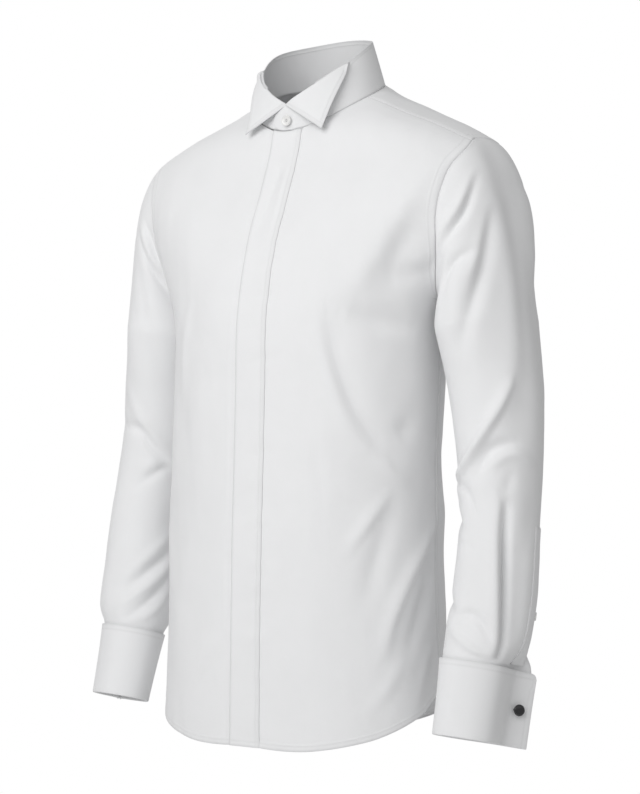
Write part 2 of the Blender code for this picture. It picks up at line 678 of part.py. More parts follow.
def sleeve_points(side, loop, angles):
    """Smooth middle points of a sleeve, as on the left, rows from the armhole to the cuff."""
    table = SLEEVE_RINGS[side]
    centres = np.array([[row.x, row.y, row.z] for row in table])
    headings = np.gradient(centres, axis=0)
    rings = [sleeve_ring(row, unit(heading), angles) for row, heading in zip(table, headings)]
    for height, swell in ((CUFF_HEIGHT + 0.004, SLEEVE_END_SWELL), (CUFF_SEAM_HEIGHT + SEAM_GAP * 2, 0.0)):
        rings.append(sleeve_end_ring(side, len(angles), tip_column(angles), height, swell))
    where = np.linspace(0, len(rings) - 1, ARM_ROWS + 1)
    arm = spline_rows(np.array(rings).reshape(len(rings), -1), where)
    arm = arm.reshape(ARM_ROWS + 1, len(angles), 3)

    reach = np.linalg.norm(arm[0] - loop, axis=1)[:, None]
    top = (1 + np.cos(np.radians(angles)))[:, None] / 2
    leave = reach * (top * CAP_LEAVES_TOP + (1 - top) * CAP_LEAVES_UNDERARM)
    arrive = reach * unit(headings[0])
    part = np.linspace(0, 1, CAP_ROWS + 1)[:-1, None, None]
    cap = (
        (2 * part**3 - 3 * part**2 + 1) * loop
        + (part**3 - 2 * part**2 + part) * leave
        + (3 * part**2 - 2 * part**3) * arm[0]
        + (part**3 - part**2) * arrive
    )
    return np.concatenate([cap, arm])


def sleeve_spot(smooth, angles):
    """A function that reads the sleeve's surface at degrees round it and a height."""
    order = np.argsort(angles)
    wrapped = np.concatenate([[order[-1]], order, [order[0]]])
    degrees = angles[wrapped] + np.concatenate([[-360], np.zeros(len(order)), [360]])

    def spot(angle, height):
        column = [
            [np.interp(angle, degrees, row[wrapped, k]) for k in range(3)] for row in smooth
        ]
        column = np.array(column)[::-1]
        return np.array([np.interp(height, column[:, 2], column[:, k]) for k in range(3)])

    return spot


def sided(points, side):
    """Points of the left, or mirrored to the right with their columns turned round."""
    return points if side == LEFT else (points * [-1, 1, 1])[:, ::-1]


def worn_sleeve(seams, side, folds):
    """Middle points of a sleeve, as on the left, and the degrees of its columns."""
    loop = armhole_loop(seams)
    angles = round_angles(loop)
    smooth = sleeve_points(side, loop, angles)
    offset = fold_offsets(smooth, folds, sleeve_spot(smooth, angles))
    offset[0] = 0
    offset[-3:] = 0
    return smooth + sleeve_normals(smooth) * offset[..., None], angles


def sleeve_normals(points):
    """Unit normals of a sleeve's closed grid, pointing out of the sleeve."""
    return -grid_normals(points, closed=True)


PLACKET_TOP_ROW = 14
PLACKET_COLUMNS = 4
PLACKET_BUTTON_ROW = 17
SLEEVE_BUTTON_RADIUS = 0.0045


def build_sleeve(name, seams, side, folds):
    """A sleeve, the placket band behind its forearm, and the band's button."""
    points, angles = worn_sleeve(seams, side, folds)
    normals = sleeve_normals(points)
    tip = tip_column(angles)
    columns = np.arange(tip - PLACKET_COLUMNS, tip)
    rows = np.arange(PLACKET_TOP_ROW, CAP_ROWS + ARM_ROWS - 1)
    lift = (CLOTH + BAND_CLOTH) / 2 + SEAM_GAP * 1.5
    band = (points + normals * lift)[rows][:, columns]
    top = (1 + np.cos(np.radians(angles)))[:, None] / 2
    pull_in(points, "bottom", CAP_TRIM_UNDERARM + top * (CAP_TRIM_TOP - CAP_TRIM_UNDERARM))
    add_cloth(name + "_sleeve", sided(points, side)[::-1], CLOTH, closed=True)
    add_cloth(name + "_sleeve_placket", sided(band, side)[::-1], BAND_CLOTH)
    out = unit(normals[PLACKET_BUTTON_ROW, tip - 2])
    seat = points[PLACKET_BUTTON_ROW, tip - 2] + out * (lift + BAND_CLOTH / 2 + SEAM_GAP * 2)
    add_button(name + "_sleeve_button", seat * [side, 1, 1], out * [side, 1, 1], SLEEVE_BUTTON_RADIUS)


# ---------------------------------------------------------------- buttons and cufflinks

BUTTON_RADIUS = 0.0061
# Profile rows (share of the radius, height) from the middle of the back to the middle of the face.
ButtonRow = namedtuple("ButtonRow", "place radius height")
BUTTON_PROFILE = (
    ButtonRow("back edge", 0.86, 0.0000),
    ButtonRow("side", 1.00, 0.0007),
    ButtonRow("rim", 0.97, 0.0019),
    ButtonRow("rim top", 0.86, 0.0023),
    ButtonRow("inside rim", 0.74, 0.0020),
    ButtonRow("dish", 0.60, 0.0016),
)
BUTTON_HOLE_RADIUS = 0.0008
BUTTON_HOLE_SPACING = 0.0013


def turned(name, profile, segments=16):
    """A closed mesh turned about +Z from (radius, height) rows, bottom to top."""
    mesh = bmesh.new()
    circle = [2 * math.pi * k / segments for k in range(segments)]
    loops = [
        [mesh.verts.new((r * math.cos(a), r * math.sin(a), z)) for a in circle] for r, z in profile
    ]
    for low, high in zip(loops, loops[1:]):
        for k in range(segments):
            after = (k + 1) % segments
            mesh.faces.new((low[k], low[after], high[after], high[k]))
    mesh.faces.new(loops[0][::-1])
    mesh.faces.new(loops[-1])
    data = bpy.data.meshes.new(name)
    mesh.to_mesh(data)
    mesh.free()
    return data


def facing(normal, origin, spin=0.0):
    """Placing matrix whose +Z is the normal, at the origin."""
    turn = Vector(normal).to_track_quat("Z", "Y").to_matrix().to_4x4()
    return Matrix.Translation(Vector(origin)) @ turn @ Matrix.Rotation(spin, 4, "Z")


def helper(name, mesh):
    """A guide object for a Boolean, left out of renders."""
    guide = bpy.data.objects.new(name, mesh)
    bpy.context.scene.collection.objects.link(guide)
    guide.hide_render = True
    guide.display_type = "WIRE"
    return guide


def add_boolean(thing, other, operation):
    """Join or cut a thing with a guide object."""
    step = thing.modifiers.new(operation.lower(), "BOOLEAN")
    step.object = other
    step.operation = operation


def add_button(name, seat, normal, radius=BUTTON_RADIUS):
    """A four-hole shirt button on its seat."""
    profile = [(row.radius * radius, row.height * radius / BUTTON_RADIUS) for row in BUTTON_PROFILE]
    button = add_object(name, turned(name, profile), SHIRT_BUTTON)
    button.matrix_world = facing(normal, seat, math.radians(45))
    size = radius / BUTTON_RADIUS
    for number in range(4):
        angle = math.radians(90 * number)
        hole = [(BUTTON_HOLE_RADIUS * size, -0.002), (BUTTON_HOLE_RADIUS * size, 0.004)]
        cutter = helper(f"{name}_hole_{number + 1}", turned(name, hole, 6))
        shift = Vector((math.cos(angle), math.sin(angle), 0)) * BUTTON_HOLE_SPACING * size
        cutter.matrix_world = button.matrix_world @ Matrix.Translation(shift)
        add_boolean(button, cutter, "DIFFERENCE")


CUFFLINK_HEAD_RADIUS = 0.0062
CUFFLINK_ALONG = 0.0517
CUFFLINK_HEIGHT = 0.0385
CUFFLINK_HOLE_BACK = 0.0040
CUFFLINK_POST_RADIUS = 0.0013
CUFFLINK_HOLE_RADIUS = 0.0019
CUFFLINK_TOGGLE_RADIUS = 0.0022
CUFFLINK_TOGGLE_LENGTH = 0.0150
CUFFLINK_STAND_OFF = 0.0068
HEAD_PROFILE = (
    ButtonRow("back", 0.80, 0.0000),
    ButtonRow("back edge", 0.97, 0.0003),
    ButtonRow("side", 1.00, 0.0012),
    ButtonRow("front edge", 0.96, 0.0021),
    ButtonRow("dome", 0.72, 0.0027),
    ButtonRow("face", 0.34, 0.0030),
)


def cuff_directions(side):
    """A cuff's up, along and across directions on this side of the body."""
    mirror = np.array([side, 1, 1])
    return [direction * mirror for direction in cuff_frame(side)]


def cufflink_spot(side, along, across):
    """World point on a cuff at the cufflink's height."""
    return cuff_place(side, np.array([along, across]), CUFFLINK_HEIGHT) * [side, 1, 1]


def rod(name, start, end, radius, segments=12):
    """A guide rod between two points."""
    start, end = Vector(start), Vector(end)
    guide = helper(name, turned(name, [(radius, 0), (radius, (end - start).length)], segments))
    guide.matrix_world = facing(end - start, start)
    return guide


def build_cufflink(name, side):
    """A round head on a slanted post, with a toggle bar behind the cuff."""
    up, along, across = cuff_directions(side)
    hole = CUFFLINK_ALONG - CUFFLINK_HOLE_BACK
    seat = cufflink_spot(side, CUFFLINK_ALONG, CUFFLINK_STAND_OFF)
    profile = [(row.radius * CUFFLINK_HEAD_RADIUS, row.height) for row in HEAD_PROFILE]
    link = add_object(name + "_cufflink", turned(name, profile, 24), BLACK_ENAMEL)
    link.matrix_world = facing(across, seat)
    inner = cufflink_spot(side, hole, -CUFFLINK_STAND_OFF - 0.0006)
    outer = cufflink_spot(side, hole, CUFFLINK_STAND_OFF - 0.0012)
    neck = seat + across * 0.0010 - along * 0.0012
    end = inner - across * CUFFLINK_TOGGLE_RADIUS * 0.8
    toggle = up * CUFFLINK_TOGGLE_LENGTH / 2
    posts = (
        rod(name + "_post", end, outer, CUFFLINK_POST_RADIUS),
        rod(name + "_neck", outer - across * 0.0008 - along * 0.0006, neck, CUFFLINK_POST_RADIUS * 0.9),
        rod(name + "_toggle", end - toggle, end + toggle, CUFFLINK_TOGGLE_RADIUS),
    )
    for post in posts:
        add_boolean(link, post, "UNION")


# ---------------------------------------------------------------- cuffs

CUFF_COLUMNS = 28
CUFF_INNER_HEIGHTS = (CUFF_SEAM_HEIGHT, 0.035)
CUFF_OUTER_HEIGHTS = (0.035, 0.060, CUFF_HEIGHT)
CUFF_FOLD_ANGLES = (0, 60, 120, 180)
CUFF_CORNER_RADIUS = 0.009


def cuff_outline():
    """The whole cuff's outline, from one kissing tip round the wrist to the other."""
    half = np.array([row[1:] for row in CUFF_OUTLINE])
    fine = spline_rows(half, np.linspace(0, len(half) - 1, 300))
    whole = np.concatenate([fine[::-1], fine[1:] * [1, -1]])
    steps = np.linalg.norm(np.diff(whole, axis=0), axis=1)
    length = np.concatenate([[0], np.cumsum(steps)])
    even = np.linspace(0, length[-1], CUFF_COLUMNS + 1)
    return np.stack([np.interp(even, length, whole[:, k]) for k in (0, 1)], axis=-1)


def cuff_points(side):
    """Middle points of a cuff, as on the left: down from its seam, over its fold, up outside."""
    outline = cuff_outline()
    step = np.gradient(outline, axis=0)
    outward = np.stack([step[:, 1], -step[:, 0]], axis=-1)
    outward /= np.linalg.norm(outward, axis=1, keepdims=True)
    outward *= np.sign((outward[CUFF_COLUMNS // 2] * outline[CUFF_COLUMNS // 2]).sum())
    radius = CUFF_LAYER_STEP / 2
    rows = [(0.0, height) for height in CUFF_INNER_HEIGHTS]
    for degrees in CUFF_FOLD_ANGLES:
        turn = math.radians(degrees)
        rows.append((radius * (1 - math.cos(turn)), radius * (1 - math.sin(turn))))
    for height in CUFF_OUTER_HEIGHTS:
        rows.append((CUFF_LAYER_STEP + CUFF_TOP_FLARE * (height / CUFF_HEIGHT) ** 3, height))
    points = np.array([cuff_place(side, outline + outward * out, height) for out, height in rows])
    from_tip = np.linalg.norm(outline - outline[0], axis=1)
    from_tip = np.minimum(from_tip, from_tip[::-1])
    inset = np.clip(1 - from_tip / CUFF_CORNER_RADIUS, 0, 1)
    drop = CUFF_CORNER_RADIUS * (1 - np.sqrt(1 - inset**2)) / 2
    points[-1] -= drop[:, None] * cuff_frame(side)[0]
    return points


def build_cuff(name, side):
    """A French cuff with the holes that its cufflink passes through."""
    points = cuff_points(side)
    cuff = add_cloth(name + "_cuff", sided(points, side)[:, ::-1], CUFF_CLOTH)
    hole = CUFFLINK_ALONG - CUFFLINK_HOLE_BACK
    reach = CUFFLINK_STAND_OFF + 0.004
    cutter = rod(name + "_cuff_hole", cufflink_spot(side, hole, -reach),
                 cufflink_spot(side, hole, reach), CUFFLINK_HOLE_RADIUS)
    add_boolean(cuff, cutter, "DIFFERENCE")


# ---------------------------------------------------------------- collar

CollarTop = namedtuple("CollarTop", "front_z side_z back_z width front_depth back_depth middle_y")
COLLAR_TOP = CollarTop(-0.0044, 0.049, 0.0725, 0.061, 0.065, 0.064, 0.004)
COLLAR_LIFT = 0.0009
COLLAR_FRONT_TURN = -17.0
COLLAR_UNDER_TURN = 13.0
COLLAR_COLUMNS = 46
STAND_ROWS = 4
WING_ROWS = 5
NOTCH_TURN = 0.0
WING_BACK_TURN = 68.0
FoldPlace = namedtuple("FoldPlace", "turn share")
# The wing's fold line: shares of the band's height at turns from the centre front to the back.
FOLD_LINE = (
    FoldPlace(NOTCH_TURN, 0.70),
    FoldPlace(8.0, 0.83),
    FoldPlace(17.0, 0.925),
    FoldPlace(34.0, 1.02),
    FoldPlace(50.0, 1.00),
    FoldPlace(60.0, 0.95),
    FoldPlace(WING_BACK_TURN, 0.90),
    FoldPlace(100.0, 0.78),
    FoldPlace(180.0, 0.70),
)
NOTCH_SHARE = FOLD_LINE[0].share
WING_TIP = np.array([0.0507, -0.0670, -0.0458])
WING_BEND = 0.0017
WING_LIFT = 0.0040
TWIST_START = 0.80
TWIST_SWING = 0.0045
LAP_STEP = COLLAR_CLOTH + 2 * SEAM_GAP
BUTTON_TURN = 1.0
BUTTON_SHARE = 0.27


def stand(turn, share):
    """Point of the collar's band at a turn, a share of the way up it."""
    base = torso(turn, NECK_RISE) + [0, 0, COLLAR_LIFT]
    sine, cosine = np.sin(np.radians(turn)), np.cos(np.radians(turn))
    top = COLLAR_TOP
    radius = oval_radius(sine, cosine, top.width, top.front_depth, top.back_depth, 2.0)
    height = ring_height(cosine, top.front_z, top.side_z, top.back_z)
    rim = np.stack([radius * sine, top.middle_y - radius * cosine, height], axis=-1)
    return base + share * (rim - base)


def stand_out(turn):
    """Level direction out of the band at a turn."""
    ahead, behind = stand(turn + 1.0, 0.5), stand(turn - 1.0, 0.5)
    along = unit(ahead - behind)
    return unit(np.array([along[1], -along[0], 0.0]))


def smooth_step(value):
    """0 to 1 with soft ends."""
    value = np.clip(value, 0, 1)
    return value * value * (3 - 2 * value)


def fold_share(turn):
    """Share of the band's height at which the wing's rows start, at a turn from 0 to 180."""
    table = np.array(FOLD_LINE)
    return float(np.interp(turn, table[:, 0], table[:, 1]))


def wing_rows(turn):
    """Points of the left wing's part of one column: bend, then out to the free edge."""
    share = fold_share(turn)
    crest = 1.0 if turn >= WING_BACK_TURN else share + 0.10
    upright = [stand(turn, s) for s in np.linspace(share, crest, WING_ROWS + 3)[1:]]
    if turn >= WING_BACK_TURN:
        return upright
    part = turn / WING_BACK_TURN
    fold, out = stand(turn, share), stand_out(turn)
    rise = unit(stand(turn, 1.0) - fold)
    back_tip = stand(WING_BACK_TURN, 1.0) + stand_out(WING_BACK_TURN) * WING_BEND
    edge = WING_TIP + part * (back_tip - WING_TIP)
    edge = edge + out * WING_LIFT * math.sin(math.pi * part**1.5)
    apex = fold + out * WING_BEND + rise * WING_BEND * 0.8
    below = fold + out * WING_BEND * 2 - rise * WING_BEND * 0.4
    flap = [below + s * (edge - below) for s in np.linspace(0, 1, WING_ROWS + 1)]
    folded = [apex] + flap
    standing = smooth_step((part - TWIST_START) / (1 - TWIST_START))
    swing = out * TWIST_SWING * math.sin(math.pi * standing)
    reach = np.linspace(0, 1, WING_ROWS + 2)
    return [
        (1 - standing) * down + standing * tall + swing * far
        for down, tall, far in zip(folded, upright, reach)
    ]


def collar_column(turn):
    """Points of one column of the left half of the collar, seam to free edge."""
    if turn < NOTCH_TURN:
        past = (NOTCH_TURN - turn) / (NOTCH_TURN - COLLAR_FRONT_TURN)
        share = NOTCH_SHARE * math.sqrt(max(1 - 0.93 * past**2.6, 0))
        low = 0.14 * past**5
        return [stand(turn, s) for s in np.linspace(low, share, STAND_ROWS + 1)]
    share = fold_share(turn)
    return [stand(turn, s) for s in np.linspace(0, share, STAND_ROWS + 1)] + wing_rows(turn)


def collar_turns():
    """Turns of the collar's columns, from its lapped left end round to its right end."""
    half = COLLAR_COLUMNS // 2
    left = np.concatenate([[COLLAR_FRONT_TURN, COLLAR_FRONT_TURN * 0.8, COLLAR_FRONT_TURN * 0.45],
                           np.linspace(NOTCH_TURN, 180.0, half)])
    right = 360 - np.concatenate([[-COLLAR_UNDER_TURN], np.linspace(NOTCH_TURN, 180.0, half)[:-1]])
    return np.concatenate([left, right[::-1]])


def build_collar():
    """The wing collar: one sheet whose front corners fold out over its band."""
    points, spans, columns = [], [], []
    for turn in collar_turns():
        left = turn <= 180.0
        column = np.array(collar_column(turn if left else 360.0 - turn))
        if not left:
            column = column * [-1, 1, 1]
            under = LAP_STEP * smooth_step((turn - 300.0) / 45.0)
            column = column - stand_out(turn) * under
        columns.append(len(points))
        spans.append(len(column))
        points.extend(column.tolist())
    faces = []
    for number in range(len(columns) - 1):
        here, there = columns[number], columns[number + 1]
        for row in range(min(spans[number], spans[number + 1]) - 1):
            faces.append((here + row, there + row, there + row + 1, here + row + 1))
    add_sheet("collar", points, faces, COLLAR_CLOTH)


def build_collar_button():
    """The button on the collar's band, over the lapped end."""
    out = stand_out(BUTTON_TURN)
    seat = stand(BUTTON_TURN, BUTTON_SHARE) + out * (COLLAR_CLOTH / 2 + SEAM_GAP * 2)
    add_button("collar_button", seat, out)


def clear_scene():
    """Remove every object of the scene."""
    for thing in list(bpy.data.objects):
        bpy.data.objects.remove(thing)


def main():
    """Build every piece of the shirt."""
    clear_scene()
    seams = body_seams()
    build_fronts(seams)
    build_back(seams)
    build_yoke(seams)
    build_collar()
    build_collar_button()
    for name, side, folds in (("left", LEFT, LEFT_SLEEVE_FOLDS), ("right", RIGHT, RIGHT_SLEEVE_FOLDS)):
        build_sleeve(name, seams, side, folds)
        build_cuff(name, side)
        build_cufflink(name, side)


main()
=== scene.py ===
"""Looks of a long sleeve dress shirt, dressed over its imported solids.

Metres, +Z up, the front faces -Y and +X is the wearer's left. The body of the shirt is one
surface of rings, read at a turn (degrees round the body, 0 at the centre front, 90 at the
wearer's left) and a rise (the ring's number, counted up from the hem). Each panel is a fine
grid on that surface, with its folds, its seam allowances and its stitching.
"""

import logging
import math
from collections.abc import Callable, Sequence
from dataclasses import dataclass, field
from enum import Enum
from typing import NamedTuple

import bpy
import numpy as np
from mathutils import Matrix, Vector


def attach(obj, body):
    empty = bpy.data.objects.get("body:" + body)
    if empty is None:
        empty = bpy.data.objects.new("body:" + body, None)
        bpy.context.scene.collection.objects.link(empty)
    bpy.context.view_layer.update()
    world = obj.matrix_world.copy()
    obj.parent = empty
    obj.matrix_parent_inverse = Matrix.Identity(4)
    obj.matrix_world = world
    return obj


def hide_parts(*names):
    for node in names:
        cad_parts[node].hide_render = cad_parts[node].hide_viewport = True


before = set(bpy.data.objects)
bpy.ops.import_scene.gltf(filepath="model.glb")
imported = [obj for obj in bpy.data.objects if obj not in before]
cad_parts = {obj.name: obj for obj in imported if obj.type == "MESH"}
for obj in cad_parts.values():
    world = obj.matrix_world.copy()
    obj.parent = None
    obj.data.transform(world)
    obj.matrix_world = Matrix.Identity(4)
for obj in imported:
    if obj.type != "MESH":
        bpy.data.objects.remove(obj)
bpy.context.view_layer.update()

log = logging.getLogger("dress_shirt")
logging.basicConfig(level=logging.INFO, format="%(message)s")

Array = np.ndarray
Line = Callable[[Array], Array]
Spot = Callable[[float, float], Array]
Shift = Callable[[Array, Array], Array]
Stitches = tuple[Array, Array, Array]
Pairs = Sequence[tuple[float, float]]
Triple = tuple[float, float, float]
Material = bpy.types.Material
Thing = bpy.types.Object
Socket = bpy.types.NodeSocket

BODY = "root"
CLOTH = 0.0008
LIFT_GAP = 0.0003


class Side(Enum):
    """The wearer's left or right, by the sign of x."""

    LEFT = 1
    RIGHT = -1


class Edge(Enum):
    """One edge of a grid of rows, counted up, and columns, counted to the wearer's left."""

    BOTTOM = "bottom"
    TOP = "top"
    FIRST = "first column"
    LAST = "last column"


class Slot(Enum):
    """The record's material slots."""

    COTTON = "white_cotton"
    BUTTON = "white_button"
    ENAMEL = "black_enamel"


# ---- measuring helpers

def unit(vector: Array) -> Array:
    """Vectors at length 1."""
    return vector / np.maximum(np.linalg.norm(vector, axis=-1, keepdims=True), 1e-12)


def smooth_step(value: Array | float) -> Array:
    """0 to 1 with soft ends."""
    value = np.clip(value, 0, 1)
    return value * value * (3 - 2 * value)


def blend(part: Array, start: Array, leave: Array, end: Array, arrive: Array) -> Array:
    """Cubic curve between two points, with the slopes that it leaves and arrives at.

    Args:
        part: How far along, from 0 to 1.
        start: The first point.
        leave: The slope there.
        end: The last point.
        arrive: The slope there.

    Returns:
        The point at each part.
    """
    square, cube = part**2, part**3
    return (
        (2 * cube - 3 * square + 1) * start
        + (cube - 2 * square + part) * leave
        + (3 * square - 2 * cube) * end
        + (cube - square) * arrive
    )


def spline_rows(table: Array, where: Array | float) -> Array:
    """Read rows of a table between its own rows, on a Catmull-Rom spline.

    Args:
        table: The rows.
        where: Row numbers, which may be fractions.

    Returns:
        One row for each number.
    """
    where = np.clip(np.asarray(where, float), 0.0, len(table) - 1.0)
    low = np.minimum(where.astype(int), len(table) - 2)
    part = (where - low)[..., None]
    before = table[np.maximum(low - 1, 0)]
    after = table[np.minimum(low + 2, len(table) - 1)]
    start, end = table[low], table[low + 1]
    first = np.where((low == 0)[..., None], end - start, (end - before) / 2)
    last = np.where((low == len(table) - 2)[..., None], end - start, (after - start) / 2)
    return blend(part, start, first, end, last)


def smooth_read(places: Array, values: Array, where: Array | float) -> Array:
    """Read values given at uneven places, on a smooth curve.

    Args:
        places: Rising places.
        values: The value at each place.
        where: Places to read at.

    Returns:
        The values there.
    """
    slopes = np.gradient(values, places)
    low = np.clip(np.searchsorted(places, where) - 1, 0, len(places) - 2)
    step = places[low + 1] - places[low]
    part = np.clip((where - places[low]) / step, 0, 1)
    return blend(part, values[low], step * slopes[low], values[low + 1], step * slopes[low + 1])


def oval_radius(
    sine: Array, cosine: Array, width: Array, front: Array, back: Array, squareness: Array | float
) -> Array:
    """Polar radius of a rounded-square oval.

    Args:
        sine: Sine of the turn.
        cosine: Cosine of the turn, above 0 in front.
        width: Half width.
        front: Depth of the front half.
        back: Depth of the back half.
        squareness: 2 for an ellipse, more for a squarer oval.

    Returns:
        The radius at each turn.
    """
    depth = np.where(cosine > 0, front, back)
    total = np.abs(sine / width) ** squareness + np.abs(cosine / depth) ** squareness
    return total ** (-1 / squareness)


def ring_height(cosine: Array, front_z: Array, side_z: Array, back_z: Array) -> Array:
    """Height along a tilted ring, given at its front, side and back.

    Args:
        cosine: Cosine of the turn, 1 in front.
        front_z: Height in front.
        side_z: Height at the sides.
        back_z: Height behind.

    Returns:
        The height at each turn.
    """
    tilt = (front_z - back_z) / 2
    bend = (front_z + back_z) / 2 - side_z
    return side_z + tilt * cosine + bend * cosine**2


def arc_lengths(points: Array) -> Array:
    """Length from the first point of a line, or along the first axis of a grid, to each point."""
    steps = np.linalg.norm(np.diff(points, axis=0), axis=-1)
    return np.concatenate([np.zeros((1,) + steps.shape[1:]), np.cumsum(steps, axis=0)])


def read_line(line: Array, length: Array, where: Array) -> Array:
    """Points of a line at these lengths along it, given its length at each of its points."""
    return np.stack([np.interp(where, length, line[:, k]) for k in range(line.shape[1])], axis=-1)


def joined(*lines: Array) -> Array:
    """Seam lines run end to end, with their shared points kept once."""
    return np.concatenate([lines[0]] + [line[1:] for line in lines[1:]])


def mirrored(line: Array) -> Array:
    """A seam of the wearer's left, on the wearer's right, in the opposite order."""
    return np.stack([360 - line[::-1, 0], line[::-1, 1]], axis=-1)


def both_sides(line: Array) -> Array:
    """A seam of the wearer's left, carried on over the right."""
    return joined(line, mirrored(line))


def coons(bottom: Array, top: Array, left: Array, right: Array) -> Array:
    """Patch between four edges, rows from bottom to top and columns from left to right.

    Args:
        bottom: The first row.
        top: The last row.
        left: The first column.
        right: The last column.

    Returns:
        The patch's grid.
    """
    across = np.linspace(0, 1, len(bottom))[None, :, None]
    up = np.linspace(0, 1, len(left))[:, None, None]
    sides = (1 - across) * left[:, None] + across * right[:, None]
    ends = (1 - up) * bottom[None] + up * top[None]
    corners = (1 - up) * ((1 - across) * bottom[0] + across * bottom[-1]) + up * (
        (1 - across) * top[0] + across * top[-1]
    )
    return sides + ends - corners


def grid_normals(points: Array, closed: bool = False) -> Array:
    """Unit normals of a grid, pointing out for columns that run to the wearer's left.

    Args:
        points: The grid.
        closed: Whether its last column meets its first.

    Returns:
        One normal for each point.
    """
    if closed:
        along = np.roll(points, -1, axis=1) - np.roll(points, 1, axis=1)
    else:
        along = np.gradient(points, axis=1)
    return unit(np.cross(along, np.gradient(points, axis=0)))


def cells(grid: Array) -> Array:
    """The four corner values of each cell of a grid, one cell in each row."""
    return np.stack([grid[:-1, :-1], grid[:-1, 1:], grid[1:, 1:], grid[1:, :-1]], axis=-1).reshape(-1, 4)


def closed_round(grid: Array) -> Array:
    """A grid with its first column again after its last."""
    return np.concatenate([grid, grid[:, :1]], axis=1)


# ---- the body's form and its seams

class TorsoRing(NamedTuple):
    """One ring of the body: heights at its front, side and back, and its half sizes."""

    level: str
    front_z: float
    side_z: float
    back_z: float
    width: float
    front_depth: float
    back_depth: float
    middle_y: float
    squareness: float


class SeamPoint(NamedTuple):
    """A point that a seam passes through."""

    place: str
    turn: float
    rise: float


class HemPoint(NamedTuple):
    """A point that the shirt-tail hem passes through."""

    place: str
    turn: float
    height: float


TORSO_RINGS = (
    TorsoRing("hem", -0.745, -0.745, -0.745, 0.167, 0.112, 0.132, -0.029, 2.25),
    TorsoRing("hip", -0.600, -0.600, -0.600, 0.159, 0.110, 0.146, -0.029, 2.25),
    TorsoRing("waist", -0.450, -0.450, -0.450, 0.156, 0.106, 0.132, -0.028, 2.25),
    TorsoRing("ribs", -0.335, -0.335, -0.330, 0.156, 0.108, 0.132, -0.022, 2.30),
    TorsoRing("underarm", -0.250, -0.240, -0.230, 0.161, 0.112, 0.130, -0.014, 2.35),
    TorsoRing("chest", -0.170, -0.155, -0.140, 0.206, 0.117, 0.109, 0.010, 2.45),
    TorsoRing("armhole", -0.112, -0.098, -0.070, 0.228, 0.099, 0.098, 0.017, 2.60),
    TorsoRing("shoulder", -0.070, -0.060, -0.015, 0.205, 0.077, 0.091, 0.013, 2.40),
    TorsoRing("neck", -0.045, -0.002, 0.020, 0.073, 0.062, 0.082, 0.004, 2.00),
)
UNDERARM_TURN = 101.0
NECK_RISE = 8.0
YOKE_FRONT_NECK_TURN = 83.0
ARMHOLE_FRONT = (
    SeamPoint("underarm", UNDERARM_TURN, 4.00),
    SeamPoint("low", 86.0, 4.20),
    SeamPoint("front", 73.0, 4.80),
    SeamPoint("upper front", 69.5, 5.50),
    SeamPoint("high", 74.5, 6.40),
    SeamPoint("yoke seam", 84.5, 6.98),
)
ARMHOLE_YOKE = (
    SeamPoint("yoke seam", 84.5, 6.98),
    SeamPoint("shoulder", 95.0, 6.98),
    SeamPoint("behind shoulder", 107.0, 6.55),
    SeamPoint("back yoke seam", 113.0, 6.00),
)
ARMHOLE_BACK = (
    SeamPoint("back yoke seam", 113.0, 6.00),
    SeamPoint("blade", 117.0, 5.30),
    SeamPoint("low back", 115.0, 4.60),
    SeamPoint("behind", 107.0, 4.15),
    SeamPoint("underarm", UNDERARM_TURN, 4.00),
)
FRONT_YOKE_SEAM = (
    SeamPoint("neck", YOKE_FRONT_NECK_TURN, NECK_RISE),
    SeamPoint("middle", 83.8, 7.50),
    SeamPoint("armhole", 84.5, 6.98),
)
BACK_YOKE_SEAM = (
    SeamPoint("left armhole", 113.0, 6.00),
    SeamPoint("left blade", 135.0, 5.86),
    SeamPoint("centre back", 180.0, 5.80),
)
HEM = (
    HemPoint("centre front", 0.0, -0.711),
    HemPoint("front", 35.0, -0.7115),
    HemPoint("front hip", 62.0, -0.699),
    HemPoint("front of the side", 86.0, -0.676),
    HemPoint("side", UNDERARM_TURN, -0.658),
    HemPoint("back of the side", 118.0, -0.672),
    HemPoint("back hip", 138.0, -0.698),
    HemPoint("back", 160.0, -0.714),
    HemPoint("centre back", 180.0, -0.716),
)


class Seam(Enum):
    """The seam lines of the wearer's left half of the body."""

    PLACKET = "placket"
    SIDE = "side"
    ARM_FRONT = "armhole, front"
    ARM_YOKE = "armhole, yoke"
    ARM_BACK = "armhole, back"
    HEM_FRONT = "hem, front"
    HEM_BACK = "hem, back"
    NECK_FRONT = "neck, front"
    NECK_BACK = "neck, back"
    FRONT_YOKE = "front yoke seam"
    BACK_YOKE = "back yoke seam"


# Main lengths along each seam. A finer grid splits each of them into the same number of steps.
SEAM_LENGTHS = {
    Seam.SIDE: 17,
    Seam.ARM_FRONT: 10,
    Seam.ARM_YOKE: 6,
    Seam.ARM_BACK: 10,
    Seam.HEM_FRONT: 12,
    Seam.NECK_FRONT: 6,
    Seam.FRONT_YOKE: 6,
    Seam.NECK_BACK: 7,
    Seam.HEM_BACK: 8,
    Seam.BACK_YOKE: 8,
}


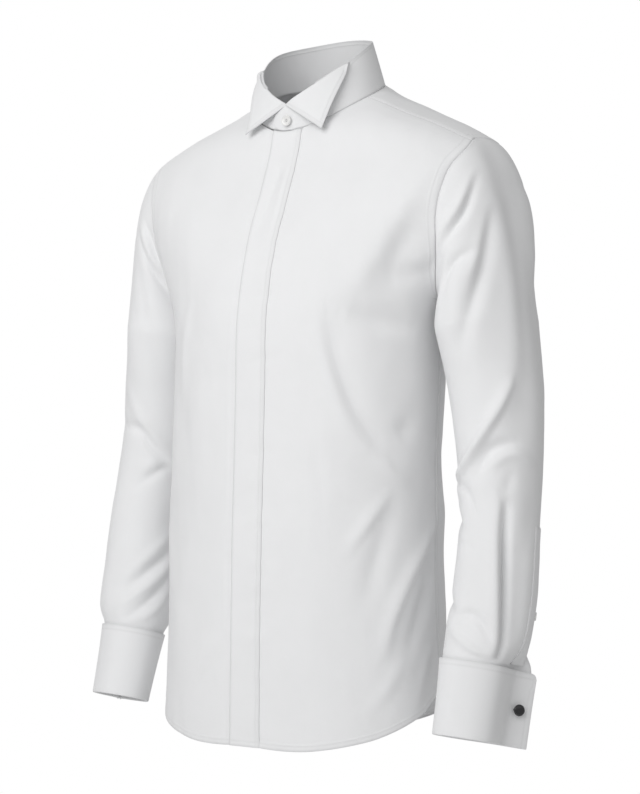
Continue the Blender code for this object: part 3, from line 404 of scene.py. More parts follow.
@dataclass
class BodyForm:
    """The body of the shirt as one surface, and the seam lines on it."""

    placket_half_width: float = 0.019
    quarter_lean: float = 0.5
    search_turn: float = 60.0
    search_rounds: int = 40
    line_steps: int = 400
    below_shoulders: float = 6.5
    newton_rounds: int = 20
    turn_step: float = 0.01
    rise_step: float = 0.0005
    steepest_turn: float = 6.0
    steepest_rise: float = 0.3
    rings: Array = field(default_factory=lambda: np.array([ring[1:] for ring in TORSO_RINGS]))

    def point(self, turn: Array | float, rise: Array | float) -> Array:
        """Points of the surface at these turns and rises.

        Args:
            turn: Degrees round the body.
            rise: Ring numbers.

        Returns:
            The points.
        """
        turn, rise = np.broadcast_arrays(np.radians(turn), np.asarray(rise, float))
        front_z, side_z, back_z, width, front, back, middle, square = np.moveaxis(
            spline_rows(self.rings, rise), -1, 0
        )
        sine, cosine = np.sin(turn), np.cos(turn)
        radius = oval_radius(sine, cosine, width, front, back, square)
        height = ring_height(cosine, front_z, side_z, back_z)
        return np.stack([radius * sine, middle - radius * cosine, height], axis=-1)

    def points(self, spots: Array) -> Array:
        """Points of the surface at (turn, rise) pairs."""
        return self.point(spots[..., 0], spots[..., 1])

    def turn_at_x(self, x: Array | float, rise: Array) -> Array:
        """Turn, near the centre front, at which the surface is x off the middle.

        Args:
            x: How far off the middle.
            rise: Ring numbers.

        Returns:
            The turn at each rise.
        """
        low, high = np.full(np.shape(rise), -self.search_turn), np.full(np.shape(rise), self.search_turn)
        for _ in range(self.search_rounds):
            middle = (low + high) / 2
            inside = self.point(middle, rise)[..., 0] < x
            low, high = np.where(inside, middle, low), np.where(inside, high, middle)
        return (low + high) / 2

    def rise_at(self, turn: float, height: float) -> float:
        """Rise at which the surface, below the shoulders, has this height at this turn."""
        rises = np.linspace(0, self.below_shoulders, self.line_steps)
        return float(np.interp(height, self.point(turn, rises)[:, 2], rises))

    def spot(self, turn: float, height: float) -> Array:
        """Point of the surface at a turn and a height."""
        return self.point(turn, self.rise_at(turn, height))

    def hem_rise(self, turn: Array | float) -> Array:
        """Rise of the shirt-tail hem at a turn from 0 to 180.

        Args:
            turn: The turns.

        Returns:
            The hem's rise at each turn.
        """
        table = np.array([row[1:] for row in HEM])
        part = np.interp(turn, table[:, 0], np.arange(len(table)))
        height = spline_rows(table, part)[..., 1]
        return np.vectorize(self.rise_at)(turn, height)

    def through(self, rows: Sequence[SeamPoint], first: int = 0, last: int | None = None) -> Line:
        """A line through seam points, from one of them to another, as a function of 0 to 1.

        Args:
            rows: The seam points.
            first: Number of the one that it starts at.
            last: Number of the one that it ends at, or none for the last.

        Returns:
            The line.
        """
        table = np.array([row[1:] for row in rows])
        last = len(table) - 1 if last is None else last
        return lambda part: spline_rows(table, first + part * (last - first))

    def line_of(self, seam: Seam) -> Line:
        """A seam line's turns and rises, as a function of 0 to 1.

        Args:
            seam: Which seam.

        Returns:
            A function that gives the (turn, rise) pairs.
        """
        if seam is Seam.FRONT_YOKE:
            return self.through(FRONT_YOKE_SEAM)
        if seam is Seam.BACK_YOKE:
            return self.through(BACK_YOKE_SEAM)
        armhole = (*ARMHOLE_FRONT, *ARMHOLE_YOKE[1:], *ARMHOLE_BACK[1:])
        front, back = len(ARMHOLE_FRONT) - 1, len(armhole) - len(ARMHOLE_BACK)
        pieces = {
            Seam.ARM_FRONT: (0, front),
            Seam.ARM_YOKE: (front, back),
            Seam.ARM_BACK: (back, len(armhole) - 1),
        }
        if seam in pieces:
            return self.through(armhole, *pieces[seam])
        return self.upright(seam) if seam in (Seam.SIDE, Seam.PLACKET) else self.level(seam)

    def upright(self, seam: Seam) -> Line:
        """The side seam or the placket's seam, up from the hem.

        Args:
            seam: Which of the two.

        Returns:
            The line, as a function of 0 to 1.
        """
        side = seam is Seam.SIDE
        start = float(self.hem_rise(UNDERARM_TURN if side else 0.0))
        end = ARMHOLE_FRONT[0].rise if side else NECK_RISE

        def read(part: Array) -> Array:
            """Turns and rises at these parts of the way up.

            Args:
                part: The parts.

            Returns:
                The pairs.
            """
            rise = start + part * (end - start)
            if side:
                return np.stack([np.full_like(rise, UNDERARM_TURN), rise], axis=-1)
            return np.stack([self.turn_at_x(self.placket_half_width, rise), rise], axis=-1)

        return read

    def level(self, seam: Seam) -> Line:
        """A stretch of the hem or of the neck.

        Args:
            seam: Which stretch.

        Returns:
            The line, as a function of 0 to 1.
        """
        placket = self.upright(Seam.PLACKET)(np.array([0.0, 1.0]))
        first, last = {
            Seam.HEM_FRONT: (placket[0, 0], UNDERARM_TURN),
            Seam.HEM_BACK: (UNDERARM_TURN, 180.0),
            Seam.NECK_FRONT: (placket[1, 0], YOKE_FRONT_NECK_TURN),
            Seam.NECK_BACK: (YOKE_FRONT_NECK_TURN, 180.0),
        }[seam]

        def read(part: Array) -> Array:
            """Turns and rises at these parts of the way round.

            Args:
                part: The parts.

            Returns:
                The pairs.
            """
            turn = first + part * (last - first)
            hem = seam in (Seam.HEM_FRONT, Seam.HEM_BACK)
            return np.stack([turn, self.hem_rise(turn) if hem else np.full_like(turn, NECK_RISE)], axis=-1)

        return read

    def even_line(self, line: Line, count: int) -> Array:
        """Points along a line, evenly spaced on the surface.

        Args:
            line: The line's turns and rises, as a function of 0 to 1.
            count: How many steps.

        Returns:
            count + 1 pairs of turn and rise.
        """
        fine = np.linspace(0, 1, self.line_steps)
        dense = line(fine)
        length = arc_lengths(self.points(dense))
        return line(np.interp(np.linspace(0, length[-1], count + 1), length, fine))

    def seams(self, detail: int) -> dict[Seam, Array]:
        """Every seam line of the left half.

        Args:
            detail: Grid steps in each main length.

        Returns:
            The (turn, rise) pairs of each seam.
        """
        lengths = dict(SEAM_LENGTHS)
        lengths[Seam.PLACKET] = lengths[Seam.SIDE] + lengths[Seam.ARM_FRONT]
        return {seam: self.even_line(self.line_of(seam), steps * detail) for seam, steps in lengths.items()}

    def quarter_view(self, points: Array) -> Array:
        """Points as seen level from the wearer's front left: across and up."""
        return np.stack([points[..., 0] + self.quarter_lean * points[..., 1], points[..., 2]], axis=-1)

    def seen_at(self, target: Array, guess: Array) -> Array:
        """Turns and rises whose points are seen at these places.

        Args:
            target: Places in the quarter view.
            guess: Turns and rises to start from.

        Returns:
            The turns and rises, found by Newton's method.
        """
        spots = guess.copy()
        for _ in range(self.newton_rounds):
            seen = self.quarter_view(self.points(spots))
            by_turn = (self.quarter_view(self.points(spots + [self.turn_step, 0])) - seen) / self.turn_step
            by_rise = (seen - self.quarter_view(self.points(spots - [0, self.rise_step]))) / self.rise_step
            miss = target - seen
            area = by_turn[..., 0] * by_rise[..., 1] - by_turn[..., 1] * by_rise[..., 0]
            turn = (miss[..., 0] * by_rise[..., 1] - miss[..., 1] * by_rise[..., 0]) / area
            rise = (by_turn[..., 0] * miss[..., 1] - by_turn[..., 1] * miss[..., 0]) / area
            spots[..., 0] += np.clip(turn, -self.steepest_turn, self.steepest_turn)
            rise = np.clip(rise, -self.steepest_rise, self.steepest_rise)
            spots[..., 1] = np.clip(spots[..., 1] + rise, 0, NECK_RISE)
        return spots

    def front_patch(self, seams: dict[Seam, Array]) -> Array:
        """Turns and rises of the left front, from the placket's seam to the side.

        Args:
            seams: The left half's seam lines.

        Returns:
            A grid of pairs.
        """
        right = joined(seams[Seam.SIDE], seams[Seam.ARM_FRONT])
        top = joined(seams[Seam.NECK_FRONT], seams[Seam.FRONT_YOKE])
        edges = (seams[Seam.HEM_FRONT], top, seams[Seam.PLACKET], right)
        seen = coons(*(self.quarter_view(self.points(edge)) for edge in edges))
        return self.seen_at(seen, coons(*edges))

    def strip(self, rise: Array, offsets: Array) -> Array:
        """Turns and rises of upright columns near the centre front, x off the middle."""
        return np.stack([np.stack([self.turn_at_x(x, rise), rise], -1) for x in offsets], axis=1)


# ---- folds

class Fold(NamedTuple):
    """A soft ridge, or a trough where the depth is below 0.

    The path is a list of places on the piece. The lee is how wide the fold is on the left of
    its path, as a share of its half width: small for a fold with one sharp side.
    """

    name: str
    path: tuple[tuple[float, float], ...]
    half_width: float
    depth: float
    lee: float = 1.0


FOLD_STEPS = 24
FOLD_REACH = 3.0
FOLD_END = 0.05
FOLD_FULLNESS = 0.7


def fold_offsets(points: Array, normals: Array, folds: Sequence[Fold], spot: Spot) -> Array:
    """How far each point stands off its smooth surface.

    Args:
        points: Points of the surface.
        normals: Their unit normals.
        folds: The folds laid on it.
        spot: Gives the point of the surface at a fold path's place.

    Returns:
        The offset of each point, along its normal.
    """
    flat, out = points.reshape(-1, 3), normals.reshape(-1, 3)
    total = np.zeros(len(flat))
    for fold in folds:
        table = np.array(fold.path, float)
        places = spline_rows(table, np.linspace(0, len(table) - 1, FOLD_STEPS + 1))
        path = np.array([spot(first, second) for first, second in places])
        reach = FOLD_REACH * fold.half_width * max(fold.lee, 1.0)
        near = ((flat > path.min(0) - reach) & (flat < path.max(0) + reach)).all(1)
        start, leg = path[:-1], np.diff(path, axis=0)
        from_start = flat[near][:, None] - start[None]
        share = np.clip((from_start * leg).sum(-1) / (leg**2).sum(-1), 0, 1)
        gap = from_start - share[..., None] * leg
        best = np.linalg.norm(gap, axis=-1).argmin(axis=1)
        rows = np.arange(len(best))
        gap, leg = gap[rows, best], leg[best]
        along = (best + share[rows, best]) / FOLD_STEPS
        on_left = (np.cross(leg, gap) * out[near]).sum(-1) > 0
        width = fold.half_width * np.where(on_left, fold.lee, 1.0)
        taper = np.sin(np.pi * np.clip(along * (1 - 2 * FOLD_END) + FOLD_END, 0, 1)) ** FOLD_FULLNESS
        total[near] += fold.depth * taper * np.exp(-((np.linalg.norm(gap, axis=-1) / width) ** 2))
    return total.reshape(points.shape[:-1])


class Ripple(NamedTuple):
    """Small uneven swells of soft cloth: their size across, their height and their stretch along Z."""

    size: float
    height: float
    stretch: float
    seed: int


SOFT_RIPPLES = (Ripple(0.075, 0.00042, 0.45, 11), Ripple(0.024, 0.00010, 0.7, 12))
STIFF_RIPPLES = (Ripple(0.050, 0.00012, 0.8, 21),)
RIPPLE_WAVES = 18
RIPPLE_SIZES = (0.75, 1.5)
RIPPLE_SHARING = 3


def ripple_offsets(points: Array, ripples: Sequence[Ripple]) -> Array:
    """The height of the cloth's small swells at each point.

    Args:
        points: Points of the cloth.
        ripples: The swells.

    Returns:
        The offset of each point, along its normal.
    """
    total = np.zeros(points.shape[:-1])
    for ripple in ripples:
        chance = np.random.RandomState(ripple.seed)
        for _ in range(RIPPLE_WAVES):
            direction = unit(chance.normal(size=3)) * [1, 1, ripple.stretch]
            wave = direction * 2 * math.pi / (ripple.size * chance.uniform(*RIPPLE_SIZES))
            total += ripple.height * np.sin(points @ wave + chance.uniform(0, 2 * math.pi)) / RIPPLE_SHARING
    return total


# ---- panels of cloth

# Distances from a finished edge at which a grid gets a row, so that hems and stitching show.
EDGE_ROWS = (
    0.0, 0.0005, 0.0011, 0.0020, 0.0034, 0.0046, 0.0053, 0.0060,
    0.0067, 0.0076, 0.0088, 0.0096, 0.0104, 0.0116,
)
ROW_CLEARANCE = 0.0008


def edge_first(points: Array, edge: Edge) -> Array:
    """The grid, turned so that the edge is its first row."""
    rows = points if edge in (Edge.BOTTOM, Edge.TOP) else np.swapaxes(points, 0, 1)
    return rows if edge in (Edge.BOTTOM, Edge.FIRST) else rows[::-1]


def edge_back(points: Array, edge: Edge) -> Array:
    """A grid turned by edge_first, turned back."""
    rows = points if edge in (Edge.BOTTOM, Edge.FIRST) else points[::-1]
    return rows if edge in (Edge.BOTTOM, Edge.TOP) else np.swapaxes(rows, 0, 1)


def level_line(values: Array, lengths: Array, length: float) -> Array:
    """Read a grid's columns where their length from the first row has one value.

    Args:
        values: The grid's values.
        lengths: Length from the first row to each of its points.
        length: The length to read at.

    Returns:
        One value for each column.
    """
    low = np.clip((lengths <= length).sum(axis=0) - 1, 0, len(lengths) - 2)
    columns = np.arange(lengths.shape[1])
    start, end = lengths[low, columns], lengths[low + 1, columns]
    part = ((length - start) / np.maximum(end - start, 1e-9))[:, None]
    return values[low, columns] * (1 - part) + values[low + 1, columns] * part


def refine_edge(points: Array, edge: Edge, distances: Sequence[float] = EDGE_ROWS) -> Array:
    """Give a grid rows at set distances from one edge, in place of the even ones there.

    Args:
        points: The grid.
        edge: Its edge.
        distances: Where the rows lie.

    Returns:
        The new grid.
    """
    work = edge_first(points, edge)
    lengths = arc_lengths(work)
    keep = int(np.argmax(lengths.min(axis=1) > distances[-1] + ROW_CLEARANCE))
    rows = [level_line(work, lengths, distance) for distance in distances]
    return edge_back(np.concatenate([np.array(rows), work[keep:]]), edge)


RELIEF_RAMP = 0.0012
STITCH_DENT = 0.0008


@dataclass(frozen=True)
class SeamFinish:
    """How a panel is finished along an edge, or along the stretch between two corners of it.

    The allowance is the doubled cloth behind the edge, raised a little. Stitches lie at set
    distances from the edge, and the sink is how far they draw the cloth in. The groove is how
    deep the seam line itself lies. Folds fade out over the pinned distance.
    """

    edge: Edge
    allowance: float = 0.0
    raised: float = 0.0
    groove: float = 0.0
    groove_width: float = 0.0009
    stitches: tuple[float, ...] = ()
    sink: float = 0.00022
    pinned: float = 0.0
    start: Array | None = None
    end: Array | None = None

    def stretch(self, line: Array) -> tuple[int, int]:
        """First and last point of this finish along the edge's line of points.

        Args:
            line: The edge's points.

        Returns:
            Their numbers in the line.
        """
        first, last = 0, len(line) - 1
        if self.start is not None:
            first = int(np.linalg.norm(line - self.start, axis=1).argmin())
        if self.end is not None:
            last = int(np.linalg.norm(line - self.end, axis=1).argmin())
        return first, last

    def weight(self, line: Array) -> Array:
        """1 along this finish's stretch of the edge and 0 elsewhere.

        Args:
            line: The edge's points.

        Returns:
            The weight at each point.
        """
        first, last = self.stretch(line)
        number = np.arange(len(line))
        return ((number >= first) & (number <= last)).astype(float)

    def relief(self, distance: Array) -> Array:
        """Height of the finished edge at these distances from it.

        Args:
            distance: The distances.

        Returns:
            The heights.
        """
        height = self.raised * smooth_step(distance / RELIEF_RAMP)
        height = height * (1 - smooth_step((distance - self.allowance) / RELIEF_RAMP))
        height = height - self.groove * np.exp(-((distance / self.groove_width) ** 2))
        for place in self.stitches:
            height = height - self.sink * np.exp(-(((distance - place) / STITCH_DENT) ** 2))
        return height


STITCH_LENGTH = 0.0021
STITCH_PITCH = 0.0026
STITCH_RADIUS = 0.00022
STITCH_INSET = 0.5
STITCH_SPARE = 0.2


def stitch_row(line: Array, normals: Array, lift: float) -> Stitches:
    """Space stitches along a line on the cloth.

    Args:
        line: Points of the line.
        normals: The cloth's normals there.
        lift: How far the thread's middle stands off the line.

    Returns:
        The stitches' starts, their ends and their normals.
    """
    length = arc_lengths(line)
    count = max(int(length[-1] / STITCH_PITCH) - 1, 1)
    starts = (np.arange(count) + STITCH_INSET) * length[-1] / (count + STITCH_SPARE)
    ends = np.minimum(starts + STITCH_LENGTH, length[-1])
    out = unit(read_line(normals, length, (starts + ends) / 2))
    return read_line(line, length, starts) + out * lift, read_line(line, length, ends) + out * lift, out


class ThreadRing(NamedTuple):
    """A ring of a stitch's thread: its share of the length, its size and its lift, in radii."""

    share: float
    size: float
    lift: float


THREAD_RINGS = (
    ThreadRing(0.0, 0.45, -1.3),
    ThreadRing(0.22, 0.95, 0.0),
    ThreadRing(0.78, 0.95, 0.0),
    ThreadRing(1.0, 0.45, -1.3),
)
THREAD_CORNERS = ((1, 0), (0, 1), (-1, 0), (0, -1))


def stitch_mesh(rows: Sequence[Stitches]) -> tuple[Array, Array]:
    """One mesh of short threads, thick in the middle and sunk at their ends.

    Args:
        rows: Starts, ends and normals of stitches.

    Returns:
        The vertices and the quads.
    """
    start, end, out = (np.concatenate([row[k] for row in rows]) for k in range(3))
    along = unit(end - start)
    across = unit(np.cross(along, out))
    out = np.cross(across, along)
    points = np.stack([
        start + ring.share * (end - start) + out * ring.lift * STITCH_RADIUS
        + (across * side + out * up) * ring.size * STITCH_RADIUS
        for ring in THREAD_RINGS for side, up in THREAD_CORNERS
    ], axis=1)
    numbers = np.arange(points.shape[1]).reshape(len(THREAD_RINGS), -1)
    quads = np.concatenate([numbers[:1, ::-1], cells(closed_round(numbers)), numbers[-1:]])
    quads = quads[None] + numbers.size * np.arange(len(points))[:, None, None]
    return points.reshape(-1, 3), quads.reshape(-1, 4)


def mesh_object(name: str, points: Array, faces: Sequence, material: Material) -> Thing:
    """A smooth-shaded object of these points and faces, in the scene.

    Args:
        name: The object's name.
        points: Its vertices.
        faces: Its faces, as vertex numbers.
        material: Its material.

    Returns:
        The object.
    """
    mesh = bpy.data.meshes.new(name)
    mesh.from_pydata([tuple(point) for point in points], [], [tuple(face) for face in faces])
    mesh.shade_smooth()
    mesh.materials.append(material)
    thing = bpy.data.objects.new(name, mesh)
    bpy.context.scene.collection.objects.link(thing)
    return thing


GRAIN_MAP = "grain"
# The seam share is the mask of the painted shade that darkens the colour along seams and stitching.
SEAM_SHARE = "seam_share"
SEAM_SHADE_REACH = 0.0022
STITCH_SHADE_REACH = 0.0011
STITCH_SHADE = 0.6


def add_grain(mesh: bpy.types.Mesh, across: Array, along: Array, seam: Array) -> None:
    """Give a mesh its grain map, in metres along its threads, and how near each point is to a seam.

    Args:
        mesh: The mesh.
        across: Length across at each corner of its faces.
        along: Length along at each corner of its faces.
        seam: How near each vertex is to a seam.
    """
    layer = mesh.uv_layers.new(name=GRAIN_MAP)
    layer.data.foreach_set("uv", np.stack([across, along], axis=-1).astype(np.float32).ravel())
    near = mesh.attributes.new(SEAM_SHARE, "FLOAT", "POINT")
    near.data.foreach_set("value", seam.astype(np.float32).ravel())


@dataclass
class ClothPanel:
    """A panel of cloth made from a smooth grid of middle points.

    Rows are counted up and columns to the wearer's left, so that the normals point out.
    Edges are refined for their stitching, apart from coarse ones, whose rows are close enough.
    """

    name: str
    smooth: Array
    seams: tuple[SeamFinish, ...] = ()
    folds: Sequence[Fold] = ()
    spot: Spot | None = None
    ripples: Sequence[Ripple] = SOFT_RIPPLES
    closed: bool = False
    wall: float = CLOTH
    coarse: tuple[Edge, ...] = ()
    shift: Shift | None = None
    fold_weight: Line | None = None
    flat: Array = field(init=False)
    normals: Array = field(init=False)
    points: Array = field(init=False)
    seam_share: Array = field(init=False)
    distances: dict[Edge, Array] = field(init=False)

    def __post_init__(self) -> None:
        """Refine the edges, then lay folds, swells and seam relief on the grid."""
        grid = self.smooth
        for edge in {seam.edge: None for seam in self.seams if seam.edge not in self.coarse}:
            grid = refine_edge(grid, edge)
        self.flat = grid
        self.normals = grid_normals(grid, self.closed)
        offset = ripple_offsets(grid, self.ripples)
        if self.folds:
            offset = offset + fold_offsets(grid, self.normals, self.folds, self.spot)
        if self.fold_weight:
            offset = offset * self.fold_weight(grid)
        self.distances = {seam.edge: self._distance(seam.edge) for seam in self.seams}
        relief = np.zeros(grid.shape[:2])
        self.seam_share = np.zeros(grid.shape[:2])
        for seam in self.seams:
            distance = self.distances[seam.edge]
            weight = np.broadcast_to(self._weight(seam), distance.shape)
            if seam.pinned:
                offset = offset * (1 - weight * (1 - smooth_step(distance / seam.pinned)))
            relief = relief + weight * seam.relief(distance)
            near = np.exp(-((distance / SEAM_SHADE_REACH) ** 2))
            for place in seam.stitches:
                dent = np.exp(-(((distance - place) / STITCH_SHADE_REACH) ** 2))
                near = np.maximum(near, STITCH_SHADE * dent)
            self.seam_share = np.maximum(self.seam_share, weight * near)
        self.points = grid + self.normals * (offset + relief)[..., None]
        if self.shift:
            self.points = self.shift(self.points, self.normals)

    def _distance(self, edge: Edge) -> Array:
        """Length from an edge to each point, along the rows or columns."""
        return edge_back(arc_lengths(edge_first(self.flat, edge)), edge)

    def _weight(self, seam: SeamFinish) -> Array:
        """Where along the grid a seam's finish holds."""
        weight = seam.weight(edge_first(self.flat, seam.edge)[0])
        return weight[None, :] if seam.edge in (Edge.BOTTOM, Edge.TOP) else weight[:, None]

    def area(self) -> float:
        """Area of the smooth panel, which is that of its flat cut.

        Returns:
            The area in square metres.
        """
        points = closed_round(self.flat) if self.closed else self.flat
        low, high = points[:-1], points[1:]
        first = np.cross(low[:, 1:] - low[:, :-1], high[:, 1:] - low[:, :-1])
        second = np.cross(high[:, 1:] - low[:, :-1], high[:, :-1] - low[:, :-1])
        return float((np.linalg.norm(first, axis=-1) + np.linalg.norm(second, axis=-1)).sum() / 2)

    def cut(self) -> tuple[float, float]:
        """Width and length of the rectangle that the flat panel is cut from.

        Returns:
            The width and the length in metres.
        """
        points = closed_round(self.flat) if self.closed else self.flat
        width = arc_lengths(np.swapaxes(points, 0, 1))[-1].max()
        return float(width), float(arc_lengths(points)[-1].max())

    def faces(self) -> tuple[Array, Array, Array]:
        """The grid's quads, and the grain map's two lengths at their corners.

        Returns:
            The quads, then the lengths across and along.
        """
        rows, columns = self.points.shape[:2]
        numbers = np.arange(rows * columns).reshape(rows, columns)
        numbers = closed_round(numbers) if self.closed else numbers
        wide = arc_lengths(closed_round(self.flat)[rows // 2])[:numbers.shape[1]]
        tall = arc_lengths(self.flat[:, columns // 2])[:, None]
        across, along = (cells(np.broadcast_to(value, numbers.shape)).ravel() for value in (wide, tall))
        return cells(numbers), across, along

    def build(self, material: Material) -> Thing:
        """Make the panel's mesh, with a thin wall.

        Args:
            material: What it is made of.

        Returns:
            The panel's object.
        """
        quads, across, along = self.faces()
        thing = mesh_object(self.name, self.points.reshape(-1, 3), quads, material)
        add_grain(thing.data, across, along, self.seam_share)
        add_wall(thing, self.wall)
        return thing

    def stitches(self) -> list[Stitches]:
        """Every row of stitches that the panel's seams ask for.

        Returns:
            One entry for each row.
        """
        out = grid_normals(self.points, self.closed)
        rows = []
        for seam in self.seams:
            turned, normals = edge_first(self.points, seam.edge), edge_first(out, seam.edge)
            lengths = edge_first(self.distances[seam.edge], seam.edge)
            for place in seam.stitches:
                line, up = level_line(turned, lengths, place), level_line(normals, lengths, place)
                if self.closed:
                    line, up = np.concatenate([line, line[:1]]), np.concatenate([up, up[:1]])
                first, last = seam.stretch(edge_first(self.flat, seam.edge)[0])
                last += self.closed
                rows.append(stitch_row(line[first:last + 1], up[first:last + 1], self.wall / 2))
        return rows


def add_wall(thing: Thing, thickness: float) -> None:
    """Give a sheet its thickness, half to each side.

    Args:
        thing: The sheet.
        thickness: How thick it gets.
    """
    wall = thing.modifiers.new("wall", "SOLIDIFY")
    wall.thickness = thickness
    wall.offset = 0.0
    wall.use_even_offset = True
    wall.use_quality_normals = True


def dress(piece: Thing, slot: Slot, *nodes: str) -> Thing:
    """Put a piece on the shirt's body, in place of its solids.

    Args:
        piece: The piece.
        slot: Its material slot; not used.
        nodes: The solids that it stands for.

    Returns:
        The same piece.
    """
    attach(piece, BODY)
    if nodes:
        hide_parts(*nodes)
    log.info("%s: %d faces", piece.name, len(piece.data.polygons))
    return piece


def sew(name: str, rows: list[Stitches], material: Material) -> Thing:
    """Make a piece's stitching as one mesh of threads."""
    points, quads = stitch_mesh(rows)
    return dress(mesh_object(name, points, quads, material), Slot.COTTON)


def lay_out(panel: ClothPanel, piece: Thing, held: str, with_pieces: Sequence[Thing] = ()) -> None:
    """Log a panel's cut size and its area.

    Args:
        panel: The panel.
        piece: Its object.
        held: How the cloth is held; not used.
        with_pieces: Stitching that goes with it; not used.
    """
    width, length = panel.cut()
    area = panel.area()
    log.info("%s: cut from %.0f x %.0f mm, %.4f square metres", piece.name, width * 1000, length * 1000, area)


def make_sheet(panel: ClothPanel, node: str, held: str, cloth: Material, thread: Material | None = None,
               sewing: str = "") -> None:
    """Args:
        panel: The panel.
        node: The solid that it stands for.
        held: How the cloth is held.
        cloth: What the panel is made of.
        thread: What its stitching is made of, if it has any.
        sewing: The stitching's name, where it isn't the node's.
    """
    piece = dress(panel.build(cloth), Slot.COTTON, node)
    name = f"{sewing or node}_stitching"
    lay_out(panel, piece, held, [sew(name, panel.stitches(), thread)] if thread else ())


# ---- the body's panels

# Paths are (turn, height) pairs.
BODY_FOLDS = (
    Fold("long ridge", ((36, -0.240), (42, -0.289), (50, -0.346), (59, -0.389)), 0.010, 0.0022),
    Fold("long trough", ((42, -0.256), (48, -0.307), (56, -0.351), (68, -0.395)), 0.0085, -0.0058, 2.2),
    Fold("short trough", ((50, -0.246), (62, -0.258), (77, -0.265)), 0.0100, -0.0056, 1.4),
    Fold("chest ridge", ((70, -0.084), (60, -0.143), (55, -0.190), (48, -0.234)), 0.017, 0.0032, 0.7),
    Fold("armhole trough", ((67, -0.145), (63, -0.185), (64, -0.235)), 0.019, -0.0056),
    Fold("armhole crease", ((70, -0.165), (60, -0.145)), 0.006, 0.0012),
    Fold("under the arm", ((80, -0.203), (66, -0.209)), 0.012, -0.0044),
    Fold("waist ridge", ((70, -0.443), (62, -0.471), (54, -0.500)), 0.0085, 0.0032, 0.7),
    Fold("waist trough", ((72, -0.457), (66, -0.508), (61, -0.554)), 0.012, -0.0042),
    Fold("side ridge", ((102, -0.471), (82, -0.523), (72, -0.570), (68, -0.607)), 0.010, 0.0048, 0.7),
    Fold("side trough", ((96, -0.523), (88, -0.562), (79, -0.607)), 0.012, -0.0048),
    Fold("waist swell", ((62, -0.395), (72, -0.418), (80, -0.431)), 0.010, 0.0026),
    Fold("above the swell", ((74, -0.378), (81, -0.362)), 0.012, -0.0026),
    Fold("faint trough", ((38, -0.383), (41, -0.412), (44, -0.450)), 0.007, -0.0011),
    Fold("skirt ridge", ((76, -0.615), (69, -0.644), (62, -0.666)), 0.008, 0.0018),
    Fold("skirt side ridge", ((96, -0.600), (88, -0.629), (82, -0.666)), 0.008, 0.0018),
    Fold("right skirt ridge", ((-16, -0.593), (-32, -0.622), (-50, -0.651)), 0.012, 0.0015),
    Fold("right skirt trough", ((-13, -0.607), (-26, -0.637), (-39, -0.666)), 0.010, -0.0015),
    Fold("placket hollow", ((1, -0.052), (-2, -0.100), (-4, -0.160)), 0.0065, -0.0026),
    Fold("placket ridge", ((9, -0.060), (6, -0.100), (4, -0.165)), 0.0050, 0.0014),
    Fold("right breast ridge", ((-44, -0.234), (-50, -0.285), (-52, -0.341)), 0.009, 0.0020),
    Fold("drag to the right armhole", ((-62, -0.18), (-48, -0.22), (-36, -0.28)), 0.022, -0.0016),
    Fold("right long trough", ((-58, -0.30), (-46, -0.42), (-40, -0.55)), 0.020, -0.0018),
    Fold("right side ridge", ((-80, -0.42), (-66, -0.50), (-52, -0.60)), 0.022, 0.0024),
    Fold("left blade drag", ((118, -0.20), (140, -0.28), (158, -0.40)), 0.022, -0.0040),
    Fold("left waist ridge", ((108, -0.44), (130, -0.50), (150, -0.58)), 0.020, 0.0042),
    Fold("left waist trough", ((116, -0.40), (136, -0.455), (154, -0.50)), 0.014, -0.0032),
    Fold("right blade drag", ((243, -0.21), (222, -0.30), (206, -0.43)), 0.020, -0.0045),
    Fold("right waist ridge", ((250, -0.46), (232, -0.52), (214, -0.57)), 0.022, 0.0038),
    Fold("right waist trough", ((246, -0.50), (230, -0.565), (222, -0.62)), 0.014, -0.0030),
    Fold("small of the back", ((170, -0.42), (184, -0.50), (190, -0.60)), 0.022, -0.0042),
)
PUCKER_TURNS = (-3.0, 6.0, 17.0)
PUCKER_SPACING = 0.032
PUCKER_SPAN = (-0.700, -0.075)
PUCKER_DEPTH = 0.0008
PUCKER_HALF_WIDTH = 0.0065
PUCKER_DROP = 0.006
PUCKER_STRENGTHS = (0.5, 1.2)
PUCKER_GAPS = (0.7, 1.3)
ARMHOLE_STITCH = 0.0088
ARMHOLE_ALLOWANCE = 0.0096
ARMHOLE_PIN = 0.006
HEM_STITCH = 0.0053
SEAM_RAISE = 0.00035
SEAM_GROOVE = 0.0004
ARMHOLE_GROOVE = 0.0005


def armhole_finish(edge: Edge, **where: object) -> SeamFinish:
    """The topstitched armhole seam, along an edge or a stretch of it."""
    sewn = {"groove": ARMHOLE_GROOVE, "stitches": (ARMHOLE_STITCH,)}
    return SeamFinish(edge, ARMHOLE_ALLOWANCE, SEAM_RAISE, **sewn, **where)


def placket_puckers() -> tuple[Fold, ...]:
    """Short uneven waves across the placket's sewn edge.

    Returns:
        The puckers, as folds.
    """
    chance = np.random.RandomState(5)
    folds, height = [], PUCKER_SPAN[0]
    while height < PUCKER_SPAN[1]:
        drop = chance.uniform(-PUCKER_DROP, PUCKER_DROP)
        path = tuple((turn, height + drop * k) for k, turn in enumerate(PUCKER_TURNS))
        depth = PUCKER_DEPTH * chance.uniform(*PUCKER_STRENGTHS) * chance.choice([-1, 1])
        folds.append(Fold("pucker", path, PUCKER_HALF_WIDTH, depth))
        height += PUCKER_SPACING * chance.uniform(*PUCKER_GAPS)
    return tuple(folds)


